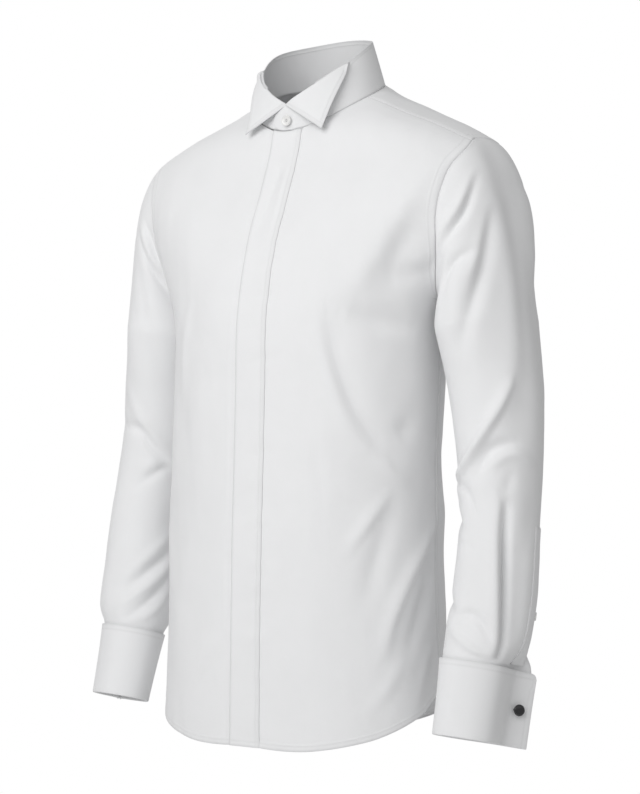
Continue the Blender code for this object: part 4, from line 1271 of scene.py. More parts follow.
@dataclass
class Fronts:
    """Both fronts and the fly placket that hides their buttons."""

    form: BodyForm
    detail: int = 7
    lap_columns: int = 12
    underlap_edge: float = 0.014
    underlap_sink: float = 0.0018
    sink_start: float = 0.0200
    sink_fade: float = 0.009
    placket_lift: float = 0.0011
    placket_low: float = 0.0003
    placket_seat: float = 0.0007
    seat_start: float = 0.0004
    seat_fade: float = 0.0016
    lift_ends: tuple[float, float] = (0.05, 0.16)
    hem_allowance: float = 0.0062
    placket_stitch: float = 0.0044
    seams: dict[Seam, Array] = field(init=False)
    patch: Array = field(init=False)
    folds: tuple[Fold, ...] = field(init=False)

    def __post_init__(self) -> None:
        """Work out the seams and the shared folds."""
        self.seams = self.form.seams(self.detail)
        self.patch = self.form.front_patch(self.seams)
        self.folds = BODY_FOLDS + placket_puckers()

    def underarm(self, side: Side) -> Array:
        """The corner under an arm."""
        return self.form.point(UNDERARM_TURN, ARMHOLE_FRONT[0].rise) * [side.value, 1, 1]

    def neck(self, side: Side) -> Array:
        """The corner where a front yoke seam meets the neck."""
        return self.form.point(YOKE_FRONT_NECK_TURN, NECK_RISE) * [side.value, 1, 1]

    def hem(self) -> SeamFinish:
        """The narrow hem."""
        return SeamFinish(Edge.BOTTOM, self.hem_allowance, SEAM_RAISE, stitches=(HEM_STITCH,))

    def side_and_armhole(self, edge: Edge, side: Side, **felled: object) -> tuple[SeamFinish, SeamFinish]:
        """The side seam, and above it the armhole seam with its topstitching.

        Args:
            edge: The panel's edge at the side.
            side: The wearer's left or right.
            **felled: Further values of the side seam's finish.

        Returns:
            The two finishes.
        """
        underarm = self.underarm(side)
        return (
            SeamFinish(edge, groove=SEAM_GROOVE, end=underarm, **felled),
            armhole_finish(edge, pinned=ARMHOLE_PIN, start=underarm),
        )

    def band(self, edge: float) -> Array:
        """Turns and rises of the strip from an edge, x off the middle, to the placket's seam."""
        offsets = np.linspace(edge, self.form.placket_half_width, self.lap_columns + 1)
        return self.form.strip(self.seams[Seam.PLACKET][:, 1], offsets)

    def laid(
        self, name: str, spots: Array, seams: tuple[SeamFinish, ...], shift: Shift | None = None
    ) -> ClothPanel:
        """A panel on the body at these turns and rises, with the shared folds."""
        return ClothPanel(name, self.form.points(spots), seams, self.folds, self.form.spot, shift=shift)

    def left(self) -> ClothPanel:
        """The left front, whose edge lies under the placket.

        Returns:
            The panel.
        """
        spots = np.concatenate([self.band(-self.form.placket_half_width)[:, :-1], self.patch], axis=1)
        yoke_seam = SeamFinish(Edge.TOP, groove=SEAM_GROOVE, start=self.neck(Side.LEFT))
        seams = (self.hem(), *self.side_and_armhole(Edge.LAST, Side.LEFT), yoke_seam)
        return self.laid("left_front_cloth", spots, seams, self.seat)

    def right(self) -> ClothPanel:
        """The right front, sunk where it passes under the left one.

        Returns:
            The panel.
        """
        spots = np.concatenate([self.band(-self.underlap_edge)[:, :-1], self.patch], axis=1)
        yoke_seam = SeamFinish(Edge.TOP, groove=SEAM_GROOVE, end=self.neck(Side.RIGHT))
        seams = (self.hem(), *self.side_and_armhole(Edge.FIRST, Side.RIGHT), yoke_seam)
        return self.laid("right_front_cloth", spots[:, ::-1] * [-1, 1], seams, self.sink)

    def seat(self, points: Array, normals: Array) -> Array:
        """Move the left front in below the placket, so that the placket's sewn edge lies flat.

        Args:
            points: The left front's points.
            normals: Their normals.

        Returns:
            The moved points.
        """
        past = points[..., 0] - self.form.placket_half_width + self.seat_start
        share = 1 - smooth_step(past / self.seat_fade)
        return points - normals * (self.placket_seat * share)[..., None]

    def sink(self, points: Array, normals: Array) -> Array:
        """Move the underlap in, so that the left front lies over it."""
        share = 1 - smooth_step((-points[..., 0] - self.sink_start) / self.sink_fade)
        return points - normals * (self.underlap_sink * share)[..., None]

    def placket(self) -> ClothPanel:
        """The fly placket: a folded band over the left front's edge, stitched along its seam side.

        Returns:
            The panel.
        """
        spots = self.band(-self.form.placket_half_width)
        seams = (
            SeamFinish(Edge.BOTTOM, groove=SEAM_GROOVE, stitches=(HEM_STITCH,)),
            SeamFinish(Edge.FIRST),
            SeamFinish(Edge.LAST, stitches=(self.placket_stitch,), sink=0.00012),
        )
        return self.laid("fly_placket_cloth", spots, seams, self.lay_over)

    def lay_over(self, points: Array, normals: Array) -> Array:
        """Lift the placket over the left front, down to its surface at both edges.

        Args:
            points: The placket's points.
            normals: Their normals.

        Returns:
            The lifted points.
        """
        across = arc_lengths(points.swapaxes(0, 1)).T
        across = across / across[:, -1:]
        edge = np.minimum(across / self.lift_ends[0], (1 - across) / self.lift_ends[1])
        lift = self.placket_low + (self.placket_lift - self.placket_low) * smooth_step(edge)
        return points + normals * lift[..., None]

    def build(self, cloth: Material, thread: Material) -> None:
        """Make the fronts, the placket and their stitching.

        Args:
            cloth: What the panels are made of.
            thread: What the stitching is made of.
        """
        for panel, node, held in (
            (self.left(), "left_front", "hung"),
            (self.right(), "right_front", "hung"),
            (self.placket(), "fly_placket", "laid"),
        ):
            make_sheet(panel, node, held, cloth, thread)


@dataclass
class Back:
    """The back, from side seam to side seam, below the yoke."""

    fronts: Fronts
    side_allowance: float = 0.0060

    def panel(self) -> ClothPanel:
        """The back's grid, with its felled side seams.

        Returns:
            The panel.
        """
        seams = self.fronts.seams
        left = joined(seams[Seam.SIDE], seams[Seam.ARM_BACK][::-1])
        bottom, top = both_sides(seams[Seam.HEM_BACK]), both_sides(seams[Seam.BACK_YOKE])
        patch = coons(bottom, top, left, mirrored(left)[::-1])
        felled = {"allowance": self.side_allowance, "raised": SEAM_RAISE, "stitches": (HEM_STITCH,)}
        finishes = (
            self.fronts.hem(),
            SeamFinish(Edge.TOP, groove=SEAM_GROOVE),
            *self.fronts.side_and_armhole(Edge.FIRST, Side.LEFT, **felled),
            *self.fronts.side_and_armhole(Edge.LAST, Side.RIGHT, **felled),
        )
        return self.fronts.laid("back_cloth", patch, finishes)

    def build(self, cloth: Material, thread: Material) -> None:
        """Make the back and its stitching."""
        make_sheet(self.panel(), "back", "hung", cloth, thread)


@dataclass
class Yoke:
    """The shoulder piece: a strip from armhole to armhole behind the neck and over both shoulders."""

    fronts: Fronts
    edge_stitch: float = 0.0016
    raised: float = 0.0004
    allowance: float = 0.0075

    def panel(self) -> ClothPanel:
        """The yoke's grid, edge-stitched over the fronts and the back.

        Returns:
            The panel.
        """
        form, seams = self.fronts.form, self.fronts.seams
        outer = both_sides(seams[Seam.BACK_YOKE])
        inner = both_sides(joined(seams[Seam.FRONT_YOKE][::-1], seams[Seam.NECK_BACK]))
        share = np.linspace(0, 1, len(outer))
        along_back = form.even_line(lambda part: read_line(outer, share, part), len(inner) - 1)
        patch = coons(along_back, inner, seams[Seam.ARM_YOKE][::-1], mirrored(seams[Seam.ARM_YOKE]))
        sewn = {"allowance": self.allowance, "raised": self.raised, "groove": 0.0003,
                "stitches": (self.edge_stitch,)}
        finishes = (
            SeamFinish(Edge.BOTTOM, **sewn),
            SeamFinish(Edge.TOP, **sewn, end=self.fronts.neck(Side.LEFT)),
            SeamFinish(Edge.TOP, **sewn, start=self.fronts.neck(Side.RIGHT)),
            armhole_finish(Edge.FIRST),
            armhole_finish(Edge.LAST),
        )
        return self.fronts.laid("yoke_cloth", patch, finishes)

    def build(self, cloth: Material, thread: Material) -> None:
        """Make the yoke and its stitching."""
        make_sheet(self.panel(), "yoke", "hung", cloth, thread)


# ---- sleeves and cuffs

class SleeveRing(NamedTuple):
    """One ring of a sleeve, as on the left: its middle, and half sizes across and along the walk."""

    level: str
    x: float
    y: float
    z: float
    across: float
    along: float


class CuffPose(NamedTuple):
    """Middle of a cuff's lower end, as on the left, and how far it leans for each metre down."""

    x: float
    y: float
    z: float
    lean_out: float
    lean_forward: float


class CuffPoint(NamedTuple):
    """A point of half of the closed cuff's outline."""

    place: str
    along: float
    across: float


SLEEVE_RINGS = {
    Side.LEFT: (
        SleeveRing("below the armhole", 0.2110, 0.014, -0.262, 0.0475, 0.0740),
        SleeveRing("biceps", 0.2225, 0.012, -0.324, 0.0460, 0.0600),
        SleeveRing("above the elbow", 0.2295, 0.007, -0.380, 0.0435, 0.0525),
        SleeveRing("elbow", 0.2335, 0.002, -0.430, 0.0415, 0.0485),
        SleeveRing("forearm", 0.2355, -0.007, -0.490, 0.0405, 0.0465),
        SleeveRing("lower forearm", 0.2350, -0.016, -0.546, 0.0415, 0.0470),
        SleeveRing("above the cuff", 0.2325, -0.027, -0.590, 0.0412, 0.0460),
    ),
    Side.RIGHT: (
        SleeveRing("below the armhole", 0.2095, 0.022, -0.262, 0.0465, 0.0720),
        SleeveRing("biceps", 0.2205, 0.020, -0.324, 0.0455, 0.0590),
        SleeveRing("above the elbow", 0.2265, 0.017, -0.380, 0.0430, 0.0520),
        SleeveRing("elbow", 0.2320, 0.009, -0.430, 0.0415, 0.0485),
        SleeveRing("forearm", 0.2355, -0.005, -0.490, 0.0405, 0.0465),
        SleeveRing("lower forearm", 0.2350, -0.014, -0.544, 0.0415, 0.0470),
        SleeveRing("above the cuff", 0.2330, -0.026, -0.586, 0.0412, 0.0455),
    ),
}
CUFF_POSES = {
    Side.LEFT: CuffPose(0.2270, -0.0623, -0.6933, -0.0409, 0.2364),
    Side.RIGHT: CuffPose(0.2324, -0.0598, -0.6867, 0.0369, 0.2750),
}
CUFF_OUTLINE = (
    CuffPoint("wrist front", -0.0360, 0.0000),
    CuffPoint("front corner", -0.0300, 0.0185),
    CuffPoint("wrist side", -0.0110, 0.0310),
    CuffPoint("wrist back", 0.0095, 0.0315),
    CuffPoint("closing in", 0.0262, 0.0186),
    CuffPoint("root of the ends", 0.0370, 0.0058),
    CuffPoint("kissing", 0.0460, 0.0012),
    CuffPoint("tips", 0.0680, 0.0007),
)
# Paths are (degrees round the sleeve, height); 0 faces out, 90 faces front, 180 the body.
SLEEVE_FOLDS = {
    Side.LEFT: (
        Fold("cap ridge", ((44, -0.101), (63, -0.130), (88, -0.158), (118, -0.184)), 0.0056, 0.0036),
        Fold("cap crease", ((44, -0.106), (63, -0.140), (79, -0.158), (100, -0.176)), 0.0050, -0.0050),
        Fold("front crease", ((66, -0.184), (84, -0.194), (98, -0.210), (104, -0.236)), 0.0056, -0.0046),
        Fold("front swell", ((63, -0.195), (83, -0.215), (88, -0.247)), 0.0090, 0.0022),
        Fold("upper ridge", ((42, -0.135), (61, -0.184), (77, -0.227)), 0.0060, 0.0022),
        Fold("upper trough", ((42, -0.146), (56, -0.195), (75, -0.248), (89, -0.284)), 0.0085, -0.0056),
        Fold("long ridge", ((29, -0.139), (30, -0.203), (37, -0.278), (48, -0.324), (72, -0.371)),
             0.0140, 0.0040, 0.9),
        Fold("cap swell", ((-30, -0.112), (-33, -0.150), (-30, -0.215)), 0.024, 0.0060),
        Fold("outer swell", ((6, -0.170), (6, -0.290), (4, -0.372), (4, -0.430)), 0.020, 0.0036),
        Fold("elbow ridge", ((46, -0.322), (64, -0.353), (86, -0.384), (112, -0.412), (138, -0.424)),
             0.0064, 0.0076, 0.6),
        Fold("elbow trough", ((91, -0.416), (74, -0.393), (43, -0.386)), 0.0072, -0.0062),
        Fold("elbow point", ((76, -0.410), (48, -0.396), (14, -0.406)), 0.0060, 0.0036),
        Fold("elbow dent", ((47, -0.415), (55, -0.440)), 0.0060, -0.0020),
        Fold("pleat ridge", ((64, -0.444), (60, -0.507), (53, -0.560), (38, -0.612)), 0.0120, 0.0050, 0.25),
        Fold("cuff pleat", ((53, -0.450), (53, -0.490), (46, -0.552), (31, -0.625)), 0.0056, -0.0115, 1.1),
        Fold("behind the pleat", ((36, -0.462), (34, -0.530), (22, -0.604)), 0.0125, -0.0042),
        Fold("outer trough", ((13, -0.448), (19, -0.506), (16, -0.578)), 0.0085, -0.0012),
        Fold("inner elbow", ((140, -0.430), (112, -0.434), (101, -0.446), (94, -0.462)), 0.0038, -0.0024),
        Fold("inner bulge", ((172, -0.430), (147, -0.434), (124, -0.440)), 0.0080, 0.0020),
        Fold("inner dent", ((178, -0.454), (147, -0.465), (118, -0.474)), 0.0080, -0.0050),
        Fold("inner forearm", ((140, -0.488), (112, -0.492), (93, -0.496)), 0.0045, -0.0014),
        Fold("inner wrist", ((178, -0.540), (147, -0.551), (112, -0.563)), 0.0065, -0.0042),
        Fold("wrist crease", ((111, -0.568), (93, -0.562), (72, -0.570), (54, -0.592)), 0.0042, -0.0038),
        Fold("wrist ridge", ((117, -0.579), (90, -0.592), (63, -0.604)), 0.0048, 0.0034),
        Fold("back of the elbow", ((-60, -0.360), (-90, -0.395), (-125, -0.410)), 0.012, 0.0042),
        Fold("behind the elbow", ((-70, -0.410), (-100, -0.432), (-135, -0.440)), 0.010, -0.0044),
        Fold("back drag", ((-40, -0.200), (-70, -0.260), (-110, -0.300)), 0.012, -0.0025),
        Fold("back of the wrist", ((-100, -0.540), (-120, -0.570), (-150, -0.590)), 0.007, -0.0022),
    ),
    Side.RIGHT: (
        Fold("cap ridge", ((71, -0.135), (96, -0.168), (122, -0.194)), 0.0050, 0.0026),
        Fold("cap crease", ((80, -0.138), (101, -0.163), (122, -0.187)), 0.0040, -0.0032),
        Fold("second cap crease", ((75, -0.149), (106, -0.188), (135, -0.222)), 0.0045, -0.0024),
        Fold("front crease", ((81, -0.179), (92, -0.237), (109, -0.293)), 0.0055, -0.0014),
        Fold("upper arm swell", ((52, -0.190), (72, -0.260), (100, -0.330)), 0.018, 0.0022),
        Fold("elbow ridge", ((72, -0.331), (101, -0.373), (134, -0.401)), 0.0070, 0.0032),
        Fold("elbow trough", ((53, -0.370), (93, -0.376), (113, -0.395), (140, -0.416)), 0.0062, -0.0048),
        Fold("forearm ridge", ((102, -0.421), (128, -0.414)), 0.0060, 0.0016),
        Fold("forearm crease", ((101, -0.442), (118, -0.431), (139, -0.423), (164, -0.434)), 0.0052, -0.0038),
        Fold("first drag ridge", ((173, -0.495), (133, -0.524), (96, -0.552)), 0.0060, 0.0026),
        Fold("first cuff drag", ((178, -0.516), (138, -0.539), (106, -0.561)), 0.0055, -0.0036),
        Fold("second drag ridge", ((180, -0.531), (141, -0.555), (98, -0.582)), 0.0055, 0.0030),
        Fold("second cuff drag", ((180, -0.545), (147, -0.571), (117, -0.592)), 0.0055, -0.0032),
        Fold("third drag ridge", ((180, -0.565), (154, -0.588), (134, -0.595)), 0.0045, 0.0016),
        Fold("cuff pleat", ((20, -0.480), (14, -0.550), (8, -0.618)), 0.0060, -0.0060, 1.6),
        Fold("back of the elbow", ((-64, -0.370), (-96, -0.402), (-130, -0.412)), 0.012, 0.0042),
        Fold("behind the elbow", ((-60, -0.416), (-96, -0.440), (-138, -0.446)), 0.010, -0.0044),
        Fold("back drag", ((-40, -0.210), (-72, -0.270), (-112, -0.310)), 0.012, -0.0025),
        Fold("back of the wrist", ((-96, -0.530), (-120, -0.565), (-150, -0.585)), 0.007, -0.0022),
    ),
}


OUTLINE_STEPS = 600


def even_outline(half: Pairs, count: int, swell: float = 0.0) -> Array:
    """An outline closed from half of its points.

    Args:
        half: (along, across) pairs from the wrist's front to a tip.
        count: How many points to space evenly along it.
        swell: How much wider to make it, as a share.

    Returns:
        The points, from tip to tip.
    """
    table = np.array(half)
    table = np.concatenate([table[::-1], table[1:] * [1, -1]])
    outline = spline_rows(table, np.linspace(0, len(table) - 1, OUTLINE_STEPS + 1)) * [1, 1 + swell]
    length = arc_lengths(outline)
    return read_line(outline, length, np.linspace(0, length[-1], count))


@dataclass
class CuffForm:
    """The place and outline of a closed French cuff, as on the left side."""

    side: Side
    height: float = 0.079
    seam_height: float = 0.069
    taper: tuple[float, float] = (0.935, 1.010)
    fin_heading: float = math.radians(38)

    @property
    def name(self) -> str:
        """The name of this side."""
        return self.side.name.lower()

    def directions(self) -> tuple[Array, Array, Array]:
        """Up the cuff's axis, along its kissing ends, and across them.

        Returns:
            The three directions, as on the left.
        """
        pose = CUFF_POSES[self.side]
        up = unit(np.array([-pose.lean_out, pose.lean_forward, 1.0]))
        heading = np.array([math.sin(self.fin_heading), math.cos(self.fin_heading), 0.0])
        along = unit(heading - heading.dot(up) * up)
        return up, along, np.cross(along, up)

    def place(self, outline: Array, height: Array | float) -> Array:
        """Points of (along, across) pairs at a height up the cuff.

        Args:
            outline: The pairs.
            height: One height, or one for each pair.

        Returns:
            The points, as on the left.
        """
        pose = CUFF_POSES[self.side]
        up, along, across = self.directions()
        height = np.broadcast_to(np.asarray(height, float)[..., None], outline[..., :1].shape)
        size = self.taper[0] + (self.taper[1] - self.taper[0]) * np.clip(height / self.height, 0, 1)
        reach = outline[..., 0:1] * np.where(outline[..., 0:1] < 0, size, 1.0)
        spread = outline[..., 1:2] * size
        return np.array([pose.x, pose.y, pose.z]) + height * up + reach * along + spread * across

    def to_side(self, points: Array) -> Array:
        """Points as on the left, moved to this side."""
        return points * [self.side.value, 1, 1]


@dataclass
class Sleeve:
    """A set-in sleeve with its elbow's folds, its placket band and the band's button."""

    form: BodyForm
    cuff: CuffForm
    column_detail: int = 5
    row_detail: int = 8
    cap_rows: int = 10
    cap_crowding: float = 1.5
    arm_rows: int = 15
    squareness: float = 2.15
    end_swell: float = 0.06
    above_cuff: float = 0.004
    tip: float = 0.0615
    tip_corner: tuple[float, float] = (0.0607, 0.0010)
    seam_gap: float = 0.0003
    cap_leaves_top: Triple = (0.62, 0.0, -0.46)
    cap_leaves_underarm: Triple = (0.72, 0.0, -0.62)
    fold_fades: tuple[float, float] = (6.7, 7.05)
    placket_columns: tuple[int, int] = (4, 1)
    placket_rows: tuple[int, int] = (17, 23)
    placket_lift: float = 0.0013
    button_row: int = 20
    button_column: int = 2
    button_radius: float = 0.0045
    angles: Array = field(init=False)
    tip_column: int = field(init=False)
    ring_numbers: Array = field(init=False)
    smooth: Array = field(init=False)

    def armhole(self) -> Array:
        """Points round the left armhole, from the underarm up its front and down its back.

        Returns:
            The points.
        """
        parts = (Seam.ARM_FRONT, Seam.ARM_YOKE, Seam.ARM_BACK)
        lines = [self.form.even_line(self.form.line_of(seam), SEAM_LENGTHS[seam] * self.column_detail)
                 for seam in parts]
        return self.form.points(joined(*lines)[:-1])

    def ring(self, row: SleeveRing, heading: Array, angles: Array) -> Array:
        """Points of one ring, square to the arm.

        Args:
            row: The ring's sizes.
            heading: Direction down the arm.
            angles: Degrees round the ring.

        Returns:
            The points.
        """
        middle = np.array([row.x, row.y, row.z])
        back = unit(np.array([0.0, 1.0, 0.0]) - heading[1] * heading)
        out = np.cross(heading, back)
        turn = np.radians(angles)[:, None]
        sine, cosine = np.sin(turn), np.cos(turn)
        radius = oval_radius(cosine, sine, row.across, row.along, row.along, self.squareness)
        return middle + radius * (cosine * out - sine * back)

    def end_ring(self, count: int, tip: int, height: float, swell: float) -> Array:
        """The sleeve's end inside the cuff: the cuff's outline, closed just short of its tips.

        Args:
            count: How many points.
            tip: Number of the point at the cuff's tips.
            height: Height up the cuff.
            swell: How much wider to make it, as a share.

        Returns:
            The points.
        """
        half = [row[1:] for row in CUFF_OUTLINE[:-1]] + [self.tip_corner]
        ring = np.concatenate([[[self.tip, 0.0]], even_outline(half, count - 1, swell)])
        return self.cuff.place(ring[(tip - np.arange(count)) % count], height)

    def __post_init__(self) -> None:
        """Work out the smooth sleeve, as on the left, rows from the armhole to the cuff."""
        loop = self.armhole()
        steps = np.linalg.norm(np.roll(loop, -1, axis=0) - loop, axis=1)
        part = np.concatenate([[0], np.cumsum(steps)[:-1]]) / steps.sum()
        self.angles = 180 - 360 * part
        off_tips = np.abs(self.angles[:: self.column_detail] + 90 - math.degrees(self.cuff.fin_heading))
        self.tip_column = int(off_tips.argmin()) * self.column_detail
        table = SLEEVE_RINGS[self.cuff.side]
        headings = np.gradient(np.array([[row.x, row.y, row.z] for row in table]), axis=0)
        rings = [self.ring(row, unit(heading), self.angles) for row, heading in zip(table, headings)]
        for height, swell in (
            (self.cuff.height + self.above_cuff, self.end_swell),
            (self.cuff.seam_height + 2 * self.seam_gap, 0.0),
        ):
            rings.append(self.end_ring(len(loop), self.tip_column, height, swell))
        self.ring_numbers = np.linspace(0, len(rings) - 1, self.arm_rows * self.row_detail + 1)
        arm = spline_rows(np.array(rings).reshape(len(rings), -1), self.ring_numbers)
        arm = arm.reshape(len(self.ring_numbers), len(loop), 3)
        reach = np.linalg.norm(arm[0] - loop, axis=1)[:, None]
        top = (1 + np.cos(np.radians(self.angles)))[:, None] / 2
        leaves_top, leaves_under = np.array(self.cap_leaves_top), np.array(self.cap_leaves_underarm)
        leave = reach * (top * leaves_top + (1 - top) * leaves_under)
        arrive = reach * unit(headings[0])
        part = np.linspace(0, 1, self.cap_rows * self.row_detail + 1)[:-1, None, None] ** self.cap_crowding
        self.smooth = np.concatenate([blend(part, loop, leave, arm[0], arrive), arm])

    def spot(self, angle: float, height: float) -> Array:
        """Point of the smooth sleeve at degrees round it and a height, on this side.

        Args:
            angle: Degrees round the sleeve.
            height: The height.

        Returns:
            The point.
        """
        order = np.argsort(self.angles)
        wrapped = np.concatenate([[order[-1]], order, [order[0]]])
        degrees = self.angles[wrapped] + np.concatenate([[-360], np.zeros(len(order)), [360]])
        place = np.interp(angle, degrees, np.arange(len(degrees)))
        low = int(min(place, len(degrees) - 2))
        share = place - low
        line = self.smooth[:, wrapped[low]] * (1 - share) + self.smooth[:, wrapped[low + 1]] * share
        line = line[::-1]
        return self.cuff.to_side(np.array([np.interp(height, line[:, 2], line[:, k]) for k in range(3)]))

    def on_side(self, points: Array) -> Array:
        """A grid as on the left, moved to this side with its rows counted up and its normals out."""
        moved = self.cuff.to_side(points)[::-1]
        return moved if self.cuff.side is Side.LEFT else moved[:, ::-1]

    def fold_fade(self, grid: Array) -> Array:
        """Share of the folds kept at each row of a grid: none inside the cuff.

        Args:
            grid: The grid.

        Returns:
            The share of each row.
        """
        start, end = self.fold_fades
        heights = self.on_side(self.smooth)[..., 2].mean(axis=1)
        numbers = np.concatenate([self.ring_numbers[::-1], np.zeros(self.cap_rows * self.row_detail)])
        rows = np.interp(grid[..., 2].mean(axis=1), heights, numbers)
        return (1 - smooth_step((rows - start) / (end - start)))[:, None]

    def panel(self) -> ClothPanel:
        """The sleeve itself.

        Returns:
            The panel.
        """
        seams = (SeamFinish(Edge.TOP, groove=ARMHOLE_GROOVE, pinned=ARMHOLE_PIN),)
        return ClothPanel(f"{self.cuff.name}_sleeve_cloth", self.on_side(self.smooth), seams,
                          SLEEVE_FOLDS[self.cuff.side], self.spot, closed=True, coarse=(Edge.TOP,),
                          fold_weight=self.fold_fade)

    def placket(self) -> ClothPanel:
        """The placket band: a strip over the sleeve's own folds, stitched round its edges.

        Returns:
            The panel.
        """
        first, last = (self.tip_column - back * self.column_detail for back in self.placket_columns)
        top, bottom = (row * self.row_detail for row in self.placket_rows)
        band = self.on_side(self.smooth[top:bottom + 1, first:last + 1])
        edge = {"allowance": 0.0030, "raised": 0.0001, "groove": 0.0006, "stitches": (0.0018,)}
        seams = tuple(SeamFinish(one, **edge) for one in (Edge.TOP, Edge.FIRST, Edge.LAST))
        return ClothPanel(f"{self.cuff.name}_sleeve_placket_cloth", band, seams, SLEEVE_FOLDS[self.cuff.side],
                          self.spot, fold_weight=self.fold_fade,
                          shift=lambda points, normals: points + normals * self.placket_lift)

    def button_seat(self) -> tuple[Array, Array]:
        """Where the placket's button sits, and which way it faces.

        Returns:
            The seat and the direction.
        """
        row = self.button_row * self.row_detail
        column = self.tip_column - self.button_column * self.column_detail
        out = -grid_normals(self.smooth, closed=True)[row, column]
        seat = self.smooth[row, column] + out * (self.placket_lift + CLOTH / 2 + LIFT_GAP)
        return self.cuff.to_side(seat), self.cuff.to_side(out)

    def build(self, cloth: Material, thread: Material) -> None:
        """Make the sleeve, its placket and their stitching.

        Args:
            cloth: What the panels are made of.
            thread: What the stitching is made of.
        """
        name = self.cuff.name
        make_sheet(self.panel(), f"{name}_sleeve", "hung", cloth)
        make_sheet(self.placket(), f"{name}_sleeve_placket", "laid", cloth, thread, f"{name}_placket")


@dataclass
class FrenchCuff:
    """A French cuff: two stiff layers, turned back over a soft fold, with kissing ends."""

    form: CuffForm
    columns: int = 168
    inner_rows: int = 18
    fold_rows: int = 7
    outer_rows: int = 24
    layer_step: float = 0.0020
    top_flare: float = 0.0016
    flare_power: int = 3
    corner_radius: float = 0.009
    corner_depth: float = 0.7
    corner_power: int = 6
    wall: float = 0.0009
    edge_stitch: float = 0.0060

    def grid(self) -> Array:
        """Middle points, as on the left: down from the seam, over the fold, and up outside.

        Returns:
            The grid.
        """
        outline = even_outline([row[1:] for row in CUFF_OUTLINE], self.columns + 1)
        step = np.gradient(outline, axis=0)
        outward = unit(np.stack([step[:, 1], -step[:, 0]], axis=-1))
        middle = self.columns // 2
        outward *= np.sign((outward[middle] * outline[middle]).sum())
        radius = self.layer_step / 2
        rows = [(0.0, height) for height in np.linspace(self.form.seam_height, radius, self.inner_rows)]
        for turn in np.linspace(0, math.pi, self.fold_rows + 2)[1:-1]:
            rows.append((radius * (1 - math.cos(turn)), radius * (1 - math.sin(turn))))
        for height in np.linspace(radius, self.form.height, self.outer_rows):
            flare = self.top_flare * (height / self.form.height) ** self.flare_power
            rows.append((self.layer_step + flare, height))
        from_tip = np.linalg.norm(outline - outline[0], axis=1)
        from_tip = np.minimum(from_tip, from_tip[::-1])
        inset = np.clip(1 - from_tip / self.corner_radius, 0, 1)
        drop = self.corner_radius * (1 - np.sqrt(1 - inset**2)) * self.corner_depth
        points = []
        for out, height in rows:
            outer = smooth_step(out / self.layer_step) * smooth_step(height / self.form.height)
            points.append(self.form.place(outline + outward * out, height - drop * outer**self.corner_power))
        return np.array(points)

    def panel(self) -> ClothPanel:
        """The cuff's grid with its edge stitching.

        Returns:
            The panel.
        """
        points = self.form.to_side(self.grid())
        points = points[:, ::-1] if self.form.side is Side.LEFT else points
        edge = {"stitches": (self.edge_stitch,), "sink": 0.00006}
        seams = tuple(SeamFinish(one, **edge) for one in (Edge.TOP, Edge.FIRST, Edge.LAST))
        name = f"{self.form.name}_cuff_cloth"
        return ClothPanel(name, points, seams, ripples=STIFF_RIPPLES, wall=self.wall)

    def build(self, cloth: Material, thread: Material) -> None:
        """Make the cuff and its stitching."""
        make_sheet(self.panel(), f"{self.form.name}_cuff", "folded", cloth, thread)


# ---- buttons and cufflinks

class LatheRow(NamedTuple):
    """A row of a turned profile: a share of the radius, and a height."""

    place: str
    radius: float
    height: float


def turned(profile: Pairs, segments: int) -> tuple[list, list]:
    """Turn a profile about +Z.

    Args:
        profile: Radius and height of each row, from the middle of the back to the middle of the face.
        segments: Points in each ring.

    Returns:
        The vertices and faces of a closed form.
    """
    angles = np.arange(segments) * 2 * math.pi / segments
    points = [(r * math.cos(a), r * math.sin(a), z) for r, z in profile for a in angles]
    faces = [
        (row * segments + k, row * segments + (k + 1) % segments,
         (row + 1) * segments + (k + 1) % segments, (row + 1) * segments + k)
        for row in range(len(profile) - 1) for k in range(segments)
    ]
    last = (len(profile) - 1) * segments
    return points, faces + [tuple(range(segments))[::-1], tuple(range(last, last + segments))]


def facing(normal: Array, origin: Array, spin: float = 0.0) -> Matrix:
    """Placing matrix whose +Z is the normal, at the origin."""
    turn = Vector(normal).to_track_quat("Z", "Y").to_matrix().to_4x4()
    return Matrix.Translation(Vector(origin)) @ turn @ Matrix.Rotation(spin, 4, "Z")


def rounded_rod(length: float, radius: float, rounding: float, steps: int = 4) -> list[tuple[float, float]]:
    """Profile of a rod along +Z with rounded ends.

    Args:
        length: The rod's length.
        radius: Its radius.
        rounding: Radius of the rounding at its ends.
        steps: Steps in each rounding.

    Returns:
        Radius and height of each row.
    """
    turns = np.linspace(0, math.pi / 2, steps + 1)
    low = [(radius - rounding * (1 - math.sin(a)), rounding * (1 - math.cos(a))) for a in turns]
    return low + [(r, length - z) for r, z in low[::-1]]


def turned_head(rows: Sequence[LatheRow], radius: float, size: float, steps: int) -> tuple[list, list]:
    """A turned head.

    Args:
        rows: Its profile.
        radius: Its radius.
        size: What the profile's heights are multiplied by.
        steps: How many rings to make of each row, on a smooth curve.

    Returns:
        The vertices and faces.
    """
    table = np.array([(row.radius * radius, row.height * size) for row in rows])
    profile = spline_rows(table, np.linspace(0, len(table) - 1, (len(table) - 1) * steps + 1))
    return turned(profile, HEAD_SEGMENTS)


SHARP_ANGLE = math.radians(50)


def joined_meshes(name: str, parts: Sequence[tuple[list, list, Matrix]], material: Material) -> Thing:
    """One object of several closed forms, each placed by its own matrix.

    Args:
        name: The object's name.
        parts: Vertices, faces and matrix of each form.
        material: Its material.

    Returns:
        The object.
    """
    points, faces = [], []
    for vertices, quads, place in parts:
        start = len(points)
        points += [tuple(place @ Vector(vertex)) for vertex in vertices]
        faces += [tuple(start + k for k in face) for face in quads]
    thing = mesh_object(name, points, faces, material)
    thing.data.set_sharp_from_angle(angle=SHARP_ANGLE)
    return thing


